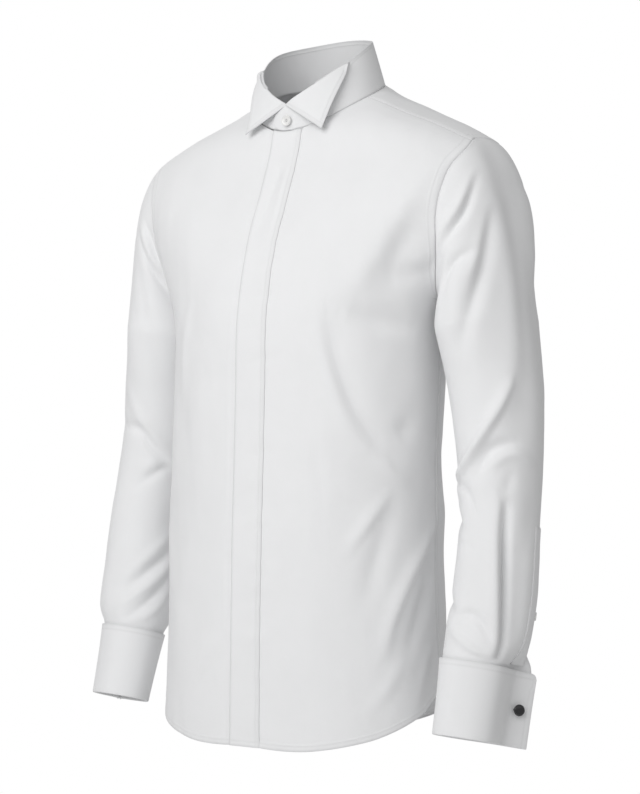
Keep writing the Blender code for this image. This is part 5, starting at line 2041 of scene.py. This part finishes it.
BUTTON_PROFILE = (
    LatheRow("back middle", 0.02, 0.0000),
    LatheRow("back edge", 0.84, 0.0000),
    LatheRow("side low", 0.97, 0.0004),
    LatheRow("side", 1.00, 0.0009),
    LatheRow("side high", 0.99, 0.0016),
    LatheRow("rim", 0.94, 0.0021),
    LatheRow("rim top", 0.86, 0.0023),
    LatheRow("inside rim", 0.75, 0.0020),
    LatheRow("dish edge", 0.64, 0.0017),
    LatheRow("dish", 0.45, 0.00155),
    LatheRow("dish middle", 0.02, 0.0015),
)
BUTTON_SIZE = 0.0061
HEAD_SEGMENTS = 64


@dataclass
class ShirtButton:
    """A four-hole shirt button with a rim and a dish, sewn on with crossed thread."""

    name: str
    seat: Array
    normal: Array
    radius: float = BUTTON_SIZE
    hole_radius: float = 0.00075
    hole_spacing: float = 0.00135
    hole_span: tuple[float, float] = (-0.002, 0.004)
    hole_segments: int = 20
    thread_aside: float = 0.00022
    thread_height: float = 0.00165
    thread_radius: float = 0.00024
    thread_rounding: float = 0.0002
    thread_segments: int = 10
    spin: float = math.radians(45)

    def hole(self, number: int, size: float) -> Vector:
        """Middle of one of the four holes."""
        angle = math.radians(90 * number)
        return Vector([value * self.hole_spacing * size for value in (math.cos(angle), math.sin(angle), 0)])

    def holes(self, button: Thing, size: float) -> None:
        """Cut the four holes.

        Args:
            button: The button.
            size: Its size, as a share of the full one.
        """
        low, high = self.hole_span
        drill = turned([(self.hole_radius * size, low), (self.hole_radius * size, high)], self.hole_segments)
        cutters = [(*drill, Matrix.Translation(self.hole(number, size))) for number in range(4)]
        cutter = joined_meshes(self.name + "_hole_cutters", cutters, button.data.materials[0])
        step = button.modifiers.new("holes", "BOOLEAN")
        step.object, step.operation, step.solver = cutter, "DIFFERENCE", "EXACT"
        graph = bpy.context.evaluated_depsgraph_get()
        cut = bpy.data.meshes.new_from_object(button.evaluated_get(graph))
        button.modifiers.clear()
        button.data = cut
        bpy.data.objects.remove(cutter)

    def build(self, shell: Material, thread: Material) -> None:
        """Make the button and its thread.

        Args:
            shell: What the button is made of.
            thread: What it is sewn on with.
        """
        size = self.radius / BUTTON_SIZE
        head = turned_head(BUTTON_PROFILE, self.radius, size, 3)
        button = joined_meshes(self.name + "_shell", [(*head, Matrix())], shell)
        self.holes(button, size)
        place = facing(self.normal, self.seat, self.spin)
        button.matrix_world = place
        dress(button, Slot.BUTTON, self.name)
        bars = []
        for start, end in ((0, 1), (2, 3)):
            for shift in (-self.thread_aside, self.thread_aside):
                first, last = self.hole(start, size), self.hole(end, size)
                along = last - first
                aside = along.normalized().cross(Vector((0, 0, 1))) * shift * size
                low = Vector((0, 0, self.thread_height * size))
                rod = rounded_rod(along.length, self.thread_radius * size, self.thread_rounding * size)
                bars.append((*turned(rod, self.thread_segments), place @ facing(along, first + aside + low)))
        dress(joined_meshes(self.name + "_thread", bars, thread), Slot.COTTON)


HEAD_PROFILE = (
    LatheRow("back middle", 0.02, 0.0000),
    LatheRow("back", 0.80, 0.0000),
    LatheRow("back edge", 0.95, 0.0003),
    LatheRow("side", 1.00, 0.0010),
    LatheRow("front edge", 0.975, 0.0017),
    LatheRow("dome edge", 0.88, 0.0023),
    LatheRow("dome", 0.66, 0.0028),
    LatheRow("dome high", 0.36, 0.0031),
    LatheRow("face middle", 0.02, 0.0032),
)


@dataclass
class Cufflink:
    """A round enamelled head on a slanted post, with a toggle bar behind the cuff."""

    cuff: CuffForm
    head_radius: float = 0.0062
    along: float = 0.0517
    height: float = 0.0385
    hole_back: float = 0.0040
    post_radius: float = 0.0012
    toggle_radius: float = 0.0022
    toggle_length: float = 0.0150
    stand_off: float = 0.0068
    toggle_gap: float = 0.0006
    toggle_hold: float = 0.8
    bend_gap: float = 0.0012
    neck_radius: float = 0.0012 * 0.9
    neck_start: tuple[float, float] = (-0.0008, -0.0006)
    neck_end: tuple[float, float] = (0.0010, -0.0012)
    rod_rounding: float = 0.45
    rod_segments: int = 24

    def spot(self, along: float, across: float) -> Array:
        """Point at the cufflink's height, this far along the kissing ends and across them."""
        return self.cuff.to_side(self.cuff.place(np.array([along, across]), self.height))

    def rod(self, start: Array, end: Array, radius: float) -> tuple[list, list, Matrix]:
        """A round-ended rod between two points.

        Args:
            start: Middle of one end.
            end: Middle of the other.
            radius: Its radius.

        Returns:
            Its vertices, faces and matrix.
        """
        length = float(np.linalg.norm(end - start))
        profile = rounded_rod(length, radius, radius * self.rod_rounding)
        return (*turned(profile, self.rod_segments), facing(end - start, start))

    def build(self, enamel: Material) -> None:
        """Make the cufflink in one piece.

        Args:
            enamel: What it is made of.
        """
        up, along, across = (self.cuff.to_side(direction) for direction in self.cuff.directions())
        hole = self.along - self.hole_back
        seat = self.spot(self.along, self.stand_off)
        inner = self.spot(hole, -self.stand_off - self.toggle_gap)
        outer = self.spot(hole, self.stand_off - self.bend_gap)
        end = inner - across * self.toggle_radius * self.toggle_hold
        toggle = up * self.toggle_length / 2
        parts = [
            (*turned_head(HEAD_PROFILE, self.head_radius, 1.0, 4), facing(across, seat)),
            self.rod(end, outer, self.post_radius),
            self.rod(outer + across * self.neck_start[0] + along * self.neck_start[1],
                     seat + across * self.neck_end[0] + along * self.neck_end[1], self.neck_radius),
            self.rod(end - toggle, end + toggle, self.toggle_radius),
        ]
        name = self.cuff.name + "_cufflink"
        dress(joined_meshes(name + "_enamelled", parts, enamel), Slot.ENAMEL, name)


# ---- collar

class FoldPlace(NamedTuple):
    """Where the wing folds: a share of the band's height at a turn."""

    turn: float
    share: float


FOLD_LINE = (
    FoldPlace(0.0, 0.705),
    FoldPlace(8.0, 0.812),
    FoldPlace(17.0, 0.904),
    FoldPlace(28.0, 0.984),
    FoldPlace(40.0, 1.028),
    FoldPlace(50.0, 1.034),
    FoldPlace(60.0, 1.010),
    FoldPlace(68.0, 0.940),
    FoldPlace(100.0, 0.80),
    FoldPlace(180.0, 0.70),
)


@dataclass
class WingCollar:
    """A tall band whose two front corners fold out into wings, all cut as one piece."""

    form: BodyForm
    front_z: float = -0.0044
    side_z: float = 0.049
    back_z: float = 0.0725
    width: float = 0.061
    front_depth: float = 0.065
    back_depth: float = 0.064
    middle_y: float = 0.004
    back_dip: float = 0.0033
    dip_start: float = 80.0
    lift: float = 0.0009
    lap_turn: float = -17.0
    under_turn: float = -13.0
    half_columns: int = 150
    lap_columns: int = 22
    stand_rows: int = 16
    bend_rows: int = 6
    flap_rows: int = 26
    wing_back_turn: float = 68.0
    wing_tip: Triple = (0.0507, -0.0670, -0.0458)
    bend: float = 0.0017
    wing_lift: float = 0.0040
    lift_power: float = 1.5
    least_bend: float = 0.35
    bend_turn: float = 10.0
    bend_drop: float = 0.4
    bend_rise: float = 0.8
    bend_share: float = 2 / 7
    edge_crowding: float = 1.7
    crest_rise: float = 0.06
    twist_start: float = 0.80
    twist_swing: float = 0.0045
    lap_rounding: float = 0.93
    rounding_power: float = 2.6
    lap_foot: float = 0.14
    foot_power: int = 5
    lap_step: float = 0.0016
    step_start: float = 300.0
    step_fade: float = 45.0
    wall: float = 0.0011
    edge_stitch: float = 0.0044
    button_turn: float = 1.0
    button_share: float = 0.27
    button_gap: float = 0.0014

    def stand(self, turn: float, share: Array | float) -> Array:
        """Points of the band at a turn, at shares of the way up it.

        Args:
            turn: Degrees round the neck.
            share: Shares of the band's height.

        Returns:
            The points.
        """
        base = self.form.point(turn, NECK_RISE) + [0, 0, self.lift]
        sine, cosine = math.sin(math.radians(turn)), math.cos(math.radians(turn))
        radius = oval_radius(sine, cosine, self.width, self.front_depth, self.back_depth, 2.0)
        height = ring_height(cosine, self.front_z, self.side_z, self.back_z)
        behind = min(max((turn - self.dip_start) / (180 - self.dip_start), 0), 1)
        height -= self.back_dip * math.sin(math.pi * behind) ** 2
        rim = np.array([radius * sine, self.middle_y - radius * cosine, height])
        return base + np.asarray(share, float)[..., None] * (rim - base)

    def stand_out(self, turn: float) -> Array:
        """Level direction out of the band at a turn."""
        along = unit(self.stand(turn + 1.0, 0.5) - self.stand(turn - 1.0, 0.5))
        return unit(np.array([along[1], -along[0], 0.0]))

    def fold_share(self, turn: float) -> float:
        """Share of the band's height at which the wing folds, at a turn from 0 to 180."""
        table = np.array(FOLD_LINE)
        return float(smooth_read(table[:, 0], table[:, 1], turn))

    def wing(self, turn: float) -> Array:
        """Points of one column above the fold line: round the bend, then out to the free edge.

        Args:
            turn: Degrees round the neck, from 0 to 180.

        Returns:
            The points.
        """
        share = self.fold_share(turn)
        bend_end = self.bend_share
        bending = np.linspace(0, bend_end, self.bend_rows + 1)[1:]
        rows = np.linspace(0, 1, self.flap_rows + 1)[1:]
        flap_parts = 1 - (1 - rows) ** self.edge_crowding
        parts = np.concatenate([bending, bend_end + (1 - bend_end) * flap_parts])
        crest = 1.0 if turn >= self.wing_back_turn else share + self.crest_rise
        upright = self.stand(turn, share + (crest - share) * parts)
        if turn >= self.wing_back_turn:
            return upright
        place = turn / self.wing_back_turn
        fold, out = self.stand(turn, share), self.stand_out(turn)
        rise = unit(self.stand(turn, 1.0) - fold)
        back_tip = self.stand(self.wing_back_turn, 1.0) + self.stand_out(self.wing_back_turn) * self.bend
        edge = np.array(self.wing_tip) + place * (back_tip - np.array(self.wing_tip))
        edge = edge + out * self.wing_lift * math.sin(math.pi * place**self.lift_power)
        turns = np.pi * bending / bend_end
        fullness = float(smooth_step(turn / self.bend_turn))
        bend = self.bend * (self.least_bend + (1 - self.least_bend) * fullness)
        drop = self.bend_drop * bend * smooth_step(bending / bend_end)
        round_bend = (fold + np.outer(bend * (1 - np.cos(turns)), out)
                      + np.outer(bend * self.bend_rise * np.sin(turns) - drop, rise))
        below = round_bend[-1]
        flap = below + flap_parts[:, None] * (edge - below)
        folded = np.concatenate([round_bend, flap])
        standing = smooth_step((place - self.twist_start) / (1 - self.twist_start))
        swing = out * self.twist_swing * math.sin(math.pi * float(standing))
        reach = np.clip((parts * 7 - 1) / 6, 0, 1)[:, None]  # none in the first half of the bend
        return (1 - standing) * folded + standing * upright + swing * reach

    def column(self, turn: float) -> Array:
        """One column of the whole collar at a turn from 0 to 360, seam to free edge.

        Args:
            turn: Degrees round the neck.

        Returns:
            The points.
        """
        half = turn if turn <= 180 else 360 - turn
        stand = self.stand(half, np.linspace(0, self.fold_share(half), self.stand_rows + 1))
        column = np.concatenate([stand, self.wing(half)])
        return column if turn <= 180 else self.under(column * [-1, 1, 1], turn)

    def under(self, points: Array, turn: float) -> Array:
        """Points near the right end, stepped in so that the left end laps over them."""
        share = smooth_step((turn - self.step_start) / self.step_fade)
        return points - self.stand_out(turn) * self.lap_step * share

    def lap(self, turn: float, right: bool = False) -> Array:
        """One column of a lapped end, past the notch: band only, with a rounded corner.

        Args:
            turn: Degrees past the centre front, below 0.
            right: Whether it is the end that lies under.

        Returns:
            The points.
        """
        past = turn / self.lap_turn
        top = self.fold_share(0.0) * math.sqrt(max(1 - self.lap_rounding * past**self.rounding_power, 0))
        foot = self.lap_foot * past**self.foot_power
        points = self.stand(turn, np.linspace(foot, top, self.stand_rows + 1))
        return self.under(points * [-1, 1, 1], 360 - turn) if right else points

    def panel(self) -> ClothPanel:
        """The band and its wings, without the lapped ends.

        Returns:
            The panel.
        """
        turns = np.linspace(0, 180, self.half_columns + 1)
        turns = np.concatenate([turns, 360 - turns[-2::-1]])
        grid = np.array([self.column(turn) for turn in turns]).swapaxes(0, 1)
        fold = self.stand_rows
        seams = (
            SeamFinish(Edge.TOP, stitches=(self.edge_stitch,)),
            SeamFinish(Edge.FIRST, stitches=(self.edge_stitch,), start=grid[fold, 0]),
            SeamFinish(Edge.LAST, stitches=(self.edge_stitch,), start=grid[fold, -1]),
        )
        return ClothPanel("wing_collar_cloth", grid, seams, ripples=STIFF_RIPPLES, wall=self.wall,
                          coarse=(Edge.TOP,))

    def add_laps(self, panel: ClothPanel) -> tuple[Array, Array, Array, Array, Array]:
        """The panel's mesh with its two lapped ends.

        Args:
            panel: The band and wings.

        Returns:
            Points, quads, the grain map's two lengths at the quads' corners and the seam share.
        """
        quads, across, along = panel.faces()
        points, seam = [panel.points.reshape(-1, 3)], [panel.seam_share.ravel()]
        rows, columns = self.stand_rows + 1, panel.points.shape[1]
        ends = ((self.lap_turn, 0, False), (self.under_turn, columns - 1, True))
        for number, (last_turn, join, right) in enumerate(ends):
            turns = np.linspace(last_turn, 0, self.lap_columns + 1)[:-1]
            lap = np.array([self.lap(turn, right) for turn in turns]).swapaxes(0, 1)
            normals = grid_normals(lap) * (-1 if right else 1)
            lap = lap + normals * ripple_offsets(lap, STIFF_RIPPLES)[..., None]
            start = sum(len(part) for part in points)
            ids = start + np.arange(lap[..., 0].size).reshape(rows, -1)
            ids = np.concatenate([ids, (np.arange(rows) * columns + join)[:, None]], axis=1)
            ids = ids[:, ::-1] if right else ids
            points.append(lap.reshape(-1, 3))
            seam.append(np.zeros(lap[..., 0].size))
            whole = np.concatenate([lap, panel.points[:rows, join:join + 1]], axis=1)
            wide, tall = arc_lengths(whole.swapaxes(0, 1)).T, arc_lengths(whole)
            wide = (wide - wide[:, -1:]) * (-1 if right else 1) + across.max() * number
            wide, tall = (value[:, ::-1] if right else value for value in (wide, tall))
            across = np.concatenate([across, cells(wide).ravel()])
            along = np.concatenate([along, cells(tall).ravel()])
            quads = np.concatenate([quads, cells(ids)])
        return np.concatenate(points), quads, across, along, np.concatenate(seam)

    def build(self, cloth: Material, thread: Material) -> None:
        """Make the collar and its topstitching, which shows on both of its faces.

        Args:
            cloth: What the collar is made of.
            thread: What the stitching is made of.
        """
        panel = self.panel()
        points, quads, across, along, seam = self.add_laps(panel)
        thing = mesh_object(panel.name, points, quads, cloth)
        add_grain(thing.data, across, along, seam)
        add_wall(thing, self.wall)
        piece = dress(thing, Slot.COTTON, "collar")
        rows = panel.stitches()
        rows += [(start - self.wall * out, end - self.wall * out, -out) for start, end, out in rows]
        lay_out(panel, piece, "folded", [sew("collar_stitching", rows, thread)])

    def button(self) -> ShirtButton:
        """The button at the neck, on the lapped end.

        Returns:
            The button.
        """
        out = self.stand_out(self.button_turn)
        seat = self.stand(self.button_turn, self.button_share) + out * (self.wall / 2 + self.button_gap)
        return ShirtButton("collar_button", seat, out)


# ---- finishes

class Nodes:
    """A material's or group's node tree, with short calls to add and link nodes."""

    def __init__(self, tree: bpy.types.NodeTree) -> None:
        """Start from an empty tree."""
        self.tree = tree
        tree.nodes.clear()

    def add(self, kind: str, settings: dict | None = None, **inputs: object) -> bpy.types.Node:
        """Add a node.

        Args:
            kind: The node's type.
            settings: Its own properties.
            **inputs: Values or output sockets for its inputs; an underscore stands for a space.

        Returns:
            The node.
        """
        node = self.tree.nodes.new(kind)
        for name, value in (settings or {}).items():
            setattr(node, name, value)
        for name, value in inputs.items():
            socket = node.inputs[int(name[1:])] if name[0] == "i" and name[1:].isdigit() else (
                node.inputs[name.replace("_", " ")])
            if isinstance(value, Socket):
                self.tree.links.new(value, socket)
            else:
                socket.default_value = value
        return node

    def times(self, first: object, second: object) -> Socket:
        """Two values multiplied."""
        return self.maths("MULTIPLY", first, second)

    def noise(self, where: Socket, scale: float, detail: float, **more: float) -> Socket:
        """A soft noise value at a place."""
        return self.add("ShaderNodeTexNoise", Vector=where, Scale=scale, Detail=detail, **more).outputs[0]

    def bump(self, strength: float, distance: float, height: Socket, **more: Socket) -> Socket:
        """The normal of a bumped surface."""
        more = {"Strength": strength, "Distance": distance, "Height": height, **more}
        return self.add("ShaderNodeBump", **more).outputs[0]

    def place(self) -> Socket:
        """Coordinates that stay with the piece."""
        return self.add("ShaderNodeTexCoord").outputs["Object"]

    def group(self, tree: bpy.types.NodeTree, **inputs: object) -> bpy.types.NodeOutputs:
        """The outputs of a shared effect, with this material's values."""
        return self.add("ShaderNodeGroup", {"node_tree": tree}, **inputs).outputs

    def put(self, end: bpy.types.Node, **values: Socket) -> bpy.types.NodeTree:
        """Link a group's results to its output node and give back its tree.

        Args:
            end: The group's output node.
            **values: The results by socket.

        Returns:
            The group's tree.
        """
        for name, value in values.items():
            self.tree.links.new(value, end.inputs[name])
        return self.tree

    def maths(self, operation: str, first: object, second: object = 0.0) -> Socket:
        """The output of a Math node."""
        return self.add("ShaderNodeMath", {"operation": operation}, i0=first, i1=second).outputs[0]

    def mix(self, share: Socket, first: Triple, second: Triple) -> Socket:
        """A colour between two others."""
        colours = {"i6": (*first, 1.0), "i7": (*second, 1.0)}
        return self.add("ShaderNodeMix", {"data_type": "RGBA"}, i0=share, **colours).outputs[2]

    def spread(self, value: object, low: float, high: float, to_low: float, to_high: float) -> Socket:
        """A value moved from one range to another."""
        return self.add("ShaderNodeMapRange", i0=value, i1=low, i2=high, i3=to_low, i4=to_high).outputs[0]


def new_group(
    name: str, inputs: dict[str, str], outputs: dict[str, str]
) -> tuple[Nodes, bpy.types.Node, bpy.types.Node]:
    """Start a shader node group.

    Args:
        name: Its name.
        inputs: Socket types by name.
        outputs: Socket types by name.

    Returns:
        Its nodes, its input node and its output node.
    """
    tree = bpy.data.node_groups.new(name, "ShaderNodeTree")
    for names, way in ((inputs, "INPUT"), (outputs, "OUTPUT")):
        for socket, kind in names.items():
            tree.interface.new_socket(socket, in_out=way, socket_type=kind)
    nodes = Nodes(tree)
    return nodes, nodes.add("NodeGroupInput"), nodes.add("NodeGroupOutput")


NUMBER, PLACE = "NodeSocketFloat", "NodeSocketVector"
BLACK = (0.0, 0.0, 0.0)


class Effects:
    """The effects that several finishes share, each a node group built once."""

    def __init__(self) -> None:
        """Build the groups."""
        self.twill = self.build_twill()
        self.fibres = self.build_fibres()
        self.seams = self.build_seams()

    def build_twill(self) -> bpy.types.NodeTree:
        """Slanted ribs of fine twill, a little uneven.

        Returns:
            The node group.
        """
        nodes, start, end = new_group("fine_twill", {"Coordinates": PLACE, "Pitch": NUMBER},
                                      {"Height": NUMBER, "Tone": NUMBER})
        where, pitch = start.outputs["Coordinates"], start.outputs["Pitch"]
        across, along = nodes.add("ShaderNodeSeparateXYZ", i0=where).outputs[:2]
        wander = nodes.noise(where, 420.0, 2.0)
        slant = nodes.maths("ADD", across, nodes.times(along, 1.6))
        turns = nodes.maths("ADD", nodes.maths("DIVIDE", slant, pitch), nodes.times(wander, 0.5))
        rib = nodes.maths("SINE", nodes.times(turns, 2 * math.pi))
        yarn = nodes.maths("SINE", nodes.times(nodes.maths("DIVIDE", along, pitch), 4 * math.pi))
        height = nodes.maths("ADD", nodes.spread(rib, -1, 1, 0, 0.75), nodes.spread(yarn, -1, 1, 0, 0.25))
        return nodes.put(end, Height=height, Tone=nodes.spread(height, 0, 1, 0.975, 1.0))

    def build_fibres(self) -> bpy.types.NodeTree:
        """Faint unevenness of pressed cotton: its tone, its height and its gloss.

        Returns:
            The node group.
        """
        nodes, start, end = new_group("cotton_fibres", {"Coordinates": PLACE, "Amount": NUMBER},
                                      {"Height": NUMBER, "Tone": NUMBER, "Roughness": NUMBER})
        where, amount = start.outputs["Coordinates"], start.outputs["Amount"]
        broad, fine = nodes.noise(where, 26.0, 3.0), nodes.noise(where, 700.0, 2.0)
        both = nodes.maths("ADD", nodes.times(broad, 0.7), nodes.times(fine, 0.3))
        dark = nodes.times(nodes.maths("SUBTRACT", both, 0.5), amount)
        return nodes.put(end, Height=both, Tone=nodes.maths("ADD", dark, 1.0),
                         Roughness=nodes.spread(both, 0.3, 0.7, 0.74, 0.90))

    def build_seams(self) -> bpy.types.NodeTree:
        """Painted shade gathered along seams and stitching, which darkens the cloth's colour.

        Returns:
            The node group.
        """
        nodes, start, end = new_group("seam_shade", {"Near": NUMBER, "Depth": NUMBER}, {"Tone": NUMBER})
        shade = nodes.times(start.outputs["Near"], start.outputs["Depth"])
        return nodes.put(end, Tone=nodes.maths("SUBTRACT", 1.0, shade))


def new_material(name: str) -> tuple[Material, Nodes]:
    """An empty material and its nodes.

    Args:
        name: Its name.

    Returns:
        The material and its nodes.
    """
    material = bpy.data.materials.new(name)
    material.use_nodes = True
    return material, Nodes(material.node_tree)


def finish_surface(nodes: Nodes, **inputs: object) -> None:
    """Add the Principled shader and the output."""
    shader = nodes.add("ShaderNodeBsdfPrincipled", **inputs)
    nodes.add("ShaderNodeOutputMaterial", Surface=shader.outputs[0])


@dataclass(frozen=True)
class Cotton:
    """White shirt cotton: fine twill, or a stiffer pressed layer where it is fused."""

    name: str
    colour: Triple = (0.865, 0.868, 0.875)
    pitch: float = 0.00050
    weave_depth: float = 0.00004
    soft_depth: float = 0.0002
    sheen: float = 0.10
    unevenness: float = 0.06
    # How dark the painted shade along seams and stitching makes the colour.
    seam_shade_depth: float = 0.10

    def build(self, effects: Effects) -> Material:
        """Make the material.

        Args:
            effects: The shared node groups.

        Returns:
            The material.
        """
        material, nodes = new_material(self.name)
        grain = nodes.add("ShaderNodeUVMap", {"uv_map": GRAIN_MAP}).outputs[0]
        twill = nodes.group(effects.twill, Coordinates=grain, Pitch=self.pitch)
        fibres = nodes.group(effects.fibres, Coordinates=nodes.place(), Amount=self.unevenness)
        near = nodes.add("ShaderNodeAttribute", {"attribute_name": SEAM_SHARE}).outputs["Fac"]
        # Painted shade: the colour is darkened along seams and stitching.
        seams = nodes.group(effects.seams, Near=near, Depth=self.seam_shade_depth)
        tone = nodes.times(nodes.times(twill["Tone"], fibres["Tone"]), seams["Tone"])
        colour = nodes.mix(tone, BLACK, self.colour)
        weave = nodes.bump(0.5, self.weave_depth, twill["Height"])
        soft = nodes.bump(0.25, self.soft_depth, fibres["Height"], Normal=weave)
        finish_surface(nodes, Base_Color=colour, Roughness=fibres["Roughness"], Normal=soft,
                       Sheen_Weight=self.sheen, Sheen_Roughness=0.4, Specular_IOR_Level=0.25)
        return material


@dataclass(frozen=True)
class SewingThread:
    """Two-ply white thread with a slight gloss."""

    name: str = "white_sewing_thread"
    colour: Triple = (0.86, 0.86, 0.865)
    twist: float = 900.0
    ply_depth: float = 0.00005

    def build(self, effects: Effects) -> Material:
        """Make the material, with the thread's twist.

        Args:
            effects: The shared node groups.

        Returns:
            The material.
        """
        material, nodes = new_material(self.name)
        place = nodes.place()
        ply = nodes.add("ShaderNodeTexWave", {"bands_direction": "DIAGONAL"}, Vector=place, Scale=self.twist,
                        Distortion=1.0).outputs[1]
        fibres = nodes.group(effects.fibres, Coordinates=place, Amount=0.1)
        tone = nodes.times(nodes.spread(ply, 0, 1, 0.93, 1.0), fibres["Tone"])
        colour = nodes.mix(tone, BLACK, self.colour)
        finish_surface(nodes, Base_Color=colour, Roughness=nodes.spread(ply, 0, 1, 0.55, 0.45),
                       Normal=nodes.bump(0.4, self.ply_depth, ply), Sheen_Weight=0.1)
        return material


@dataclass(frozen=True)
class ButtonShell:
    """Pale shell button, smooth and softly clouded."""

    name: str = "pale_button_shell"
    light: Triple = (0.89, 0.885, 0.865)
    cloud: Triple = (0.78, 0.785, 0.78)
    cloud_depth: float = 0.00005

    def build(self) -> Material:
        """Make the material.

        Returns:
            The material.
        """
        material, nodes = new_material(self.name)
        swirl = nodes.noise(nodes.place(), 240.0, 4.0, Distortion=1.2)
        colour = nodes.mix(nodes.spread(swirl, 0.35, 0.75, 0, 1), self.light, self.cloud)
        polish = nodes.spread(swirl, 0.3, 0.7, 0.20, 0.32)
        bump = nodes.bump(0.15, self.cloud_depth, swirl)
        finish_surface(nodes, Base_Color=colour, Roughness=polish, Normal=bump, Coat_Weight=0.35,
                       Coat_Roughness=0.12)
        return material


@dataclass(frozen=True)
class BlackEnamel:
    """Polished black enamel with the faint marks of wear on its rims."""

    name: str = "polished_black_enamel"
    colour: Triple = (0.010, 0.010, 0.012)
    worn: Triple = (0.045, 0.045, 0.050)

    def build(self) -> Material:
        """Make the material.

        Returns:
            The material.
        """
        material, nodes = new_material(self.name)
        marks = nodes.noise(nodes.place(), 900.0, 5.0, Roughness=0.7)
        edge = nodes.spread(nodes.add("ShaderNodeNewGeometry").outputs["Pointiness"], 0.52, 0.60, 0, 1)
        colour = nodes.mix(nodes.times(edge, marks), self.colour, self.worn)
        polish = nodes.spread(marks, 0.3, 0.8, 0.07, 0.17)
        finish_surface(nodes, Base_Color=colour, Roughness=polish, Coat_Weight=0.6, Coat_Roughness=0.04)
        return material


# ---- studio

class SoftLight(NamedTuple):
    """A square soft light: where it shines from, and its power in watts."""

    name: str
    direction: Triple
    power: float


@dataclass(frozen=True)
class Studio:
    """A pale floor, soft light and the camera, whose lens and shift are given in pixels."""

    target: Triple = (0.0038, 0.0025, -0.330)
    heading: float = math.radians(33)
    distance: float = 2.3
    sensor: float = 36.0
    picture_height: float = 794.0
    focal_length: float = 2042.0
    view_shift: float = -7.0
    clip: tuple[float, float] = (0.05, 60.0)
    floor_z: float = -1.45
    floor_rim: tuple[tuple[float, float], ...] = ((2.4 - 0.02, -0.02), (2.4, -0.01), (2.4, 0.0))
    floor_segments: int = 96
    floor_dark: Triple = (0.83, 0.83, 0.83)
    floor_light: Triple = (0.87, 0.87, 0.87)
    light_distance: float = 2.5
    light_size: float = 1.8
    lights: tuple[SoftLight, ...] = (
        SoftLight("key_light", (0.04, -0.92, 0.42), 35.0),
        SoftLight("top_light", (0.15, -0.45, 0.88), 1.4),
        SoftLight("back_light", (-0.80, 0.60, 0.35), 18.0),
        SoftLight("side_light", (0.85, -0.30, 0.45), 2.4),
    )
    surround: float = 0.40

    def camera(self) -> None:
        """Place the camera, level, a quarter round to the wearer's left."""
        data = bpy.data.cameras.new("camera")
        data.lens = self.focal_length * self.sensor / self.picture_height
        data.sensor_width, data.sensor_fit = self.sensor, "AUTO"
        data.shift_y = self.view_shift / self.picture_height
        data.clip_start, data.clip_end = self.clip
        camera = bpy.data.objects.new("camera", data)
        toward = Vector((math.sin(self.heading), -math.cos(self.heading), 0.0))
        camera.location = Vector(self.target) + toward * self.distance
        camera.rotation_euler = toward.to_track_quat("Z", "Y").to_euler()
        bpy.context.scene.collection.objects.link(camera)
        bpy.context.scene.camera = camera

    def shine(self, soft: SoftLight) -> None:
        """Aim a soft light at the shirt.

        Args:
            soft: The light.
        """
        data = bpy.data.lights.new(soft.name, "AREA")
        data.shape, data.size, data.energy = "SQUARE", self.light_size, soft.power
        light = bpy.data.objects.new(soft.name, data)
        away = Vector(soft.direction).normalized()
        light.location = Vector(self.target) + away * self.light_distance
        light.rotation_euler = away.to_track_quat("Z", "Y").to_euler()
        bpy.context.scene.collection.objects.link(light)

    def world(self) -> None:
        """White behind the shirt, and a softer even light on it."""
        world = bpy.data.worlds.new("pale_room")
        world.use_nodes = True
        nodes = Nodes(world.node_tree)
        seen = nodes.add("ShaderNodeLightPath").outputs["Is Camera Ray"]
        strength = nodes.spread(seen, 0, 1, self.surround, 1.0)
        light = nodes.add("ShaderNodeBackground", Color=(1, 1, 1, 1), Strength=strength)
        nodes.add("ShaderNodeOutputWorld", Surface=light.outputs[0])
        bpy.context.scene.world = world

    def floor(self) -> None:
        """A round pale floor, well below the shirt."""
        disc = turned(self.floor_rim, self.floor_segments)
        material, nodes = new_material("pale_floor")
        cloud = nodes.noise(nodes.place(), 3.0, 3.0)
        colour = nodes.mix(cloud, self.floor_dark, self.floor_light)
        finish_surface(nodes, Base_Color=colour, Roughness=0.9)
        joined_meshes("floor", [(*disc, Matrix.Translation((0, 0, self.floor_z)))], material)

    def build(self) -> None:
        """Set up the whole studio."""
        self.camera()
        self.world()
        for soft in self.lights:
            self.shine(soft)
        self.floor()
        bpy.context.scene.view_settings.view_transform = "Standard"


# ---- the whole shirt


def main() -> None:
    """Build and dress every piece of the shirt."""
    Studio().build()
    effects = Effects()
    cloth = Cotton("white_twill_cotton").build(effects)
    pressed = Cotton("white_pressed_cotton", weave_depth=0.00003, sheen=0.05, unevenness=0.04).build(effects)
    thread = SewingThread().build(effects)
    shell = ButtonShell().build()
    enamel = BlackEnamel().build()
    form = BodyForm()
    fronts = Fronts(form)
    fronts.build(cloth, thread)
    Back(fronts).build(cloth, thread)
    Yoke(fronts).build(cloth, thread)
    log.info("body done")
    collar = WingCollar(form)
    collar.build(pressed, thread)
    collar.button().build(shell, thread)
    log.info("collar done")
    for side in Side:
        cuff = CuffForm(side)
        sleeve = Sleeve(form, cuff)
        sleeve.build(cloth, thread)
        seat, out = sleeve.button_seat()
        ShirtButton(f"{cuff.name}_sleeve_button", seat, out, sleeve.button_radius).build(shell, thread)
        FrenchCuff(cuff).build(pressed, thread)
        Cufflink(cuff).build(enamel)
        log.info("%s sleeve done", cuff.name)


if __name__ == "__main__":
    main()
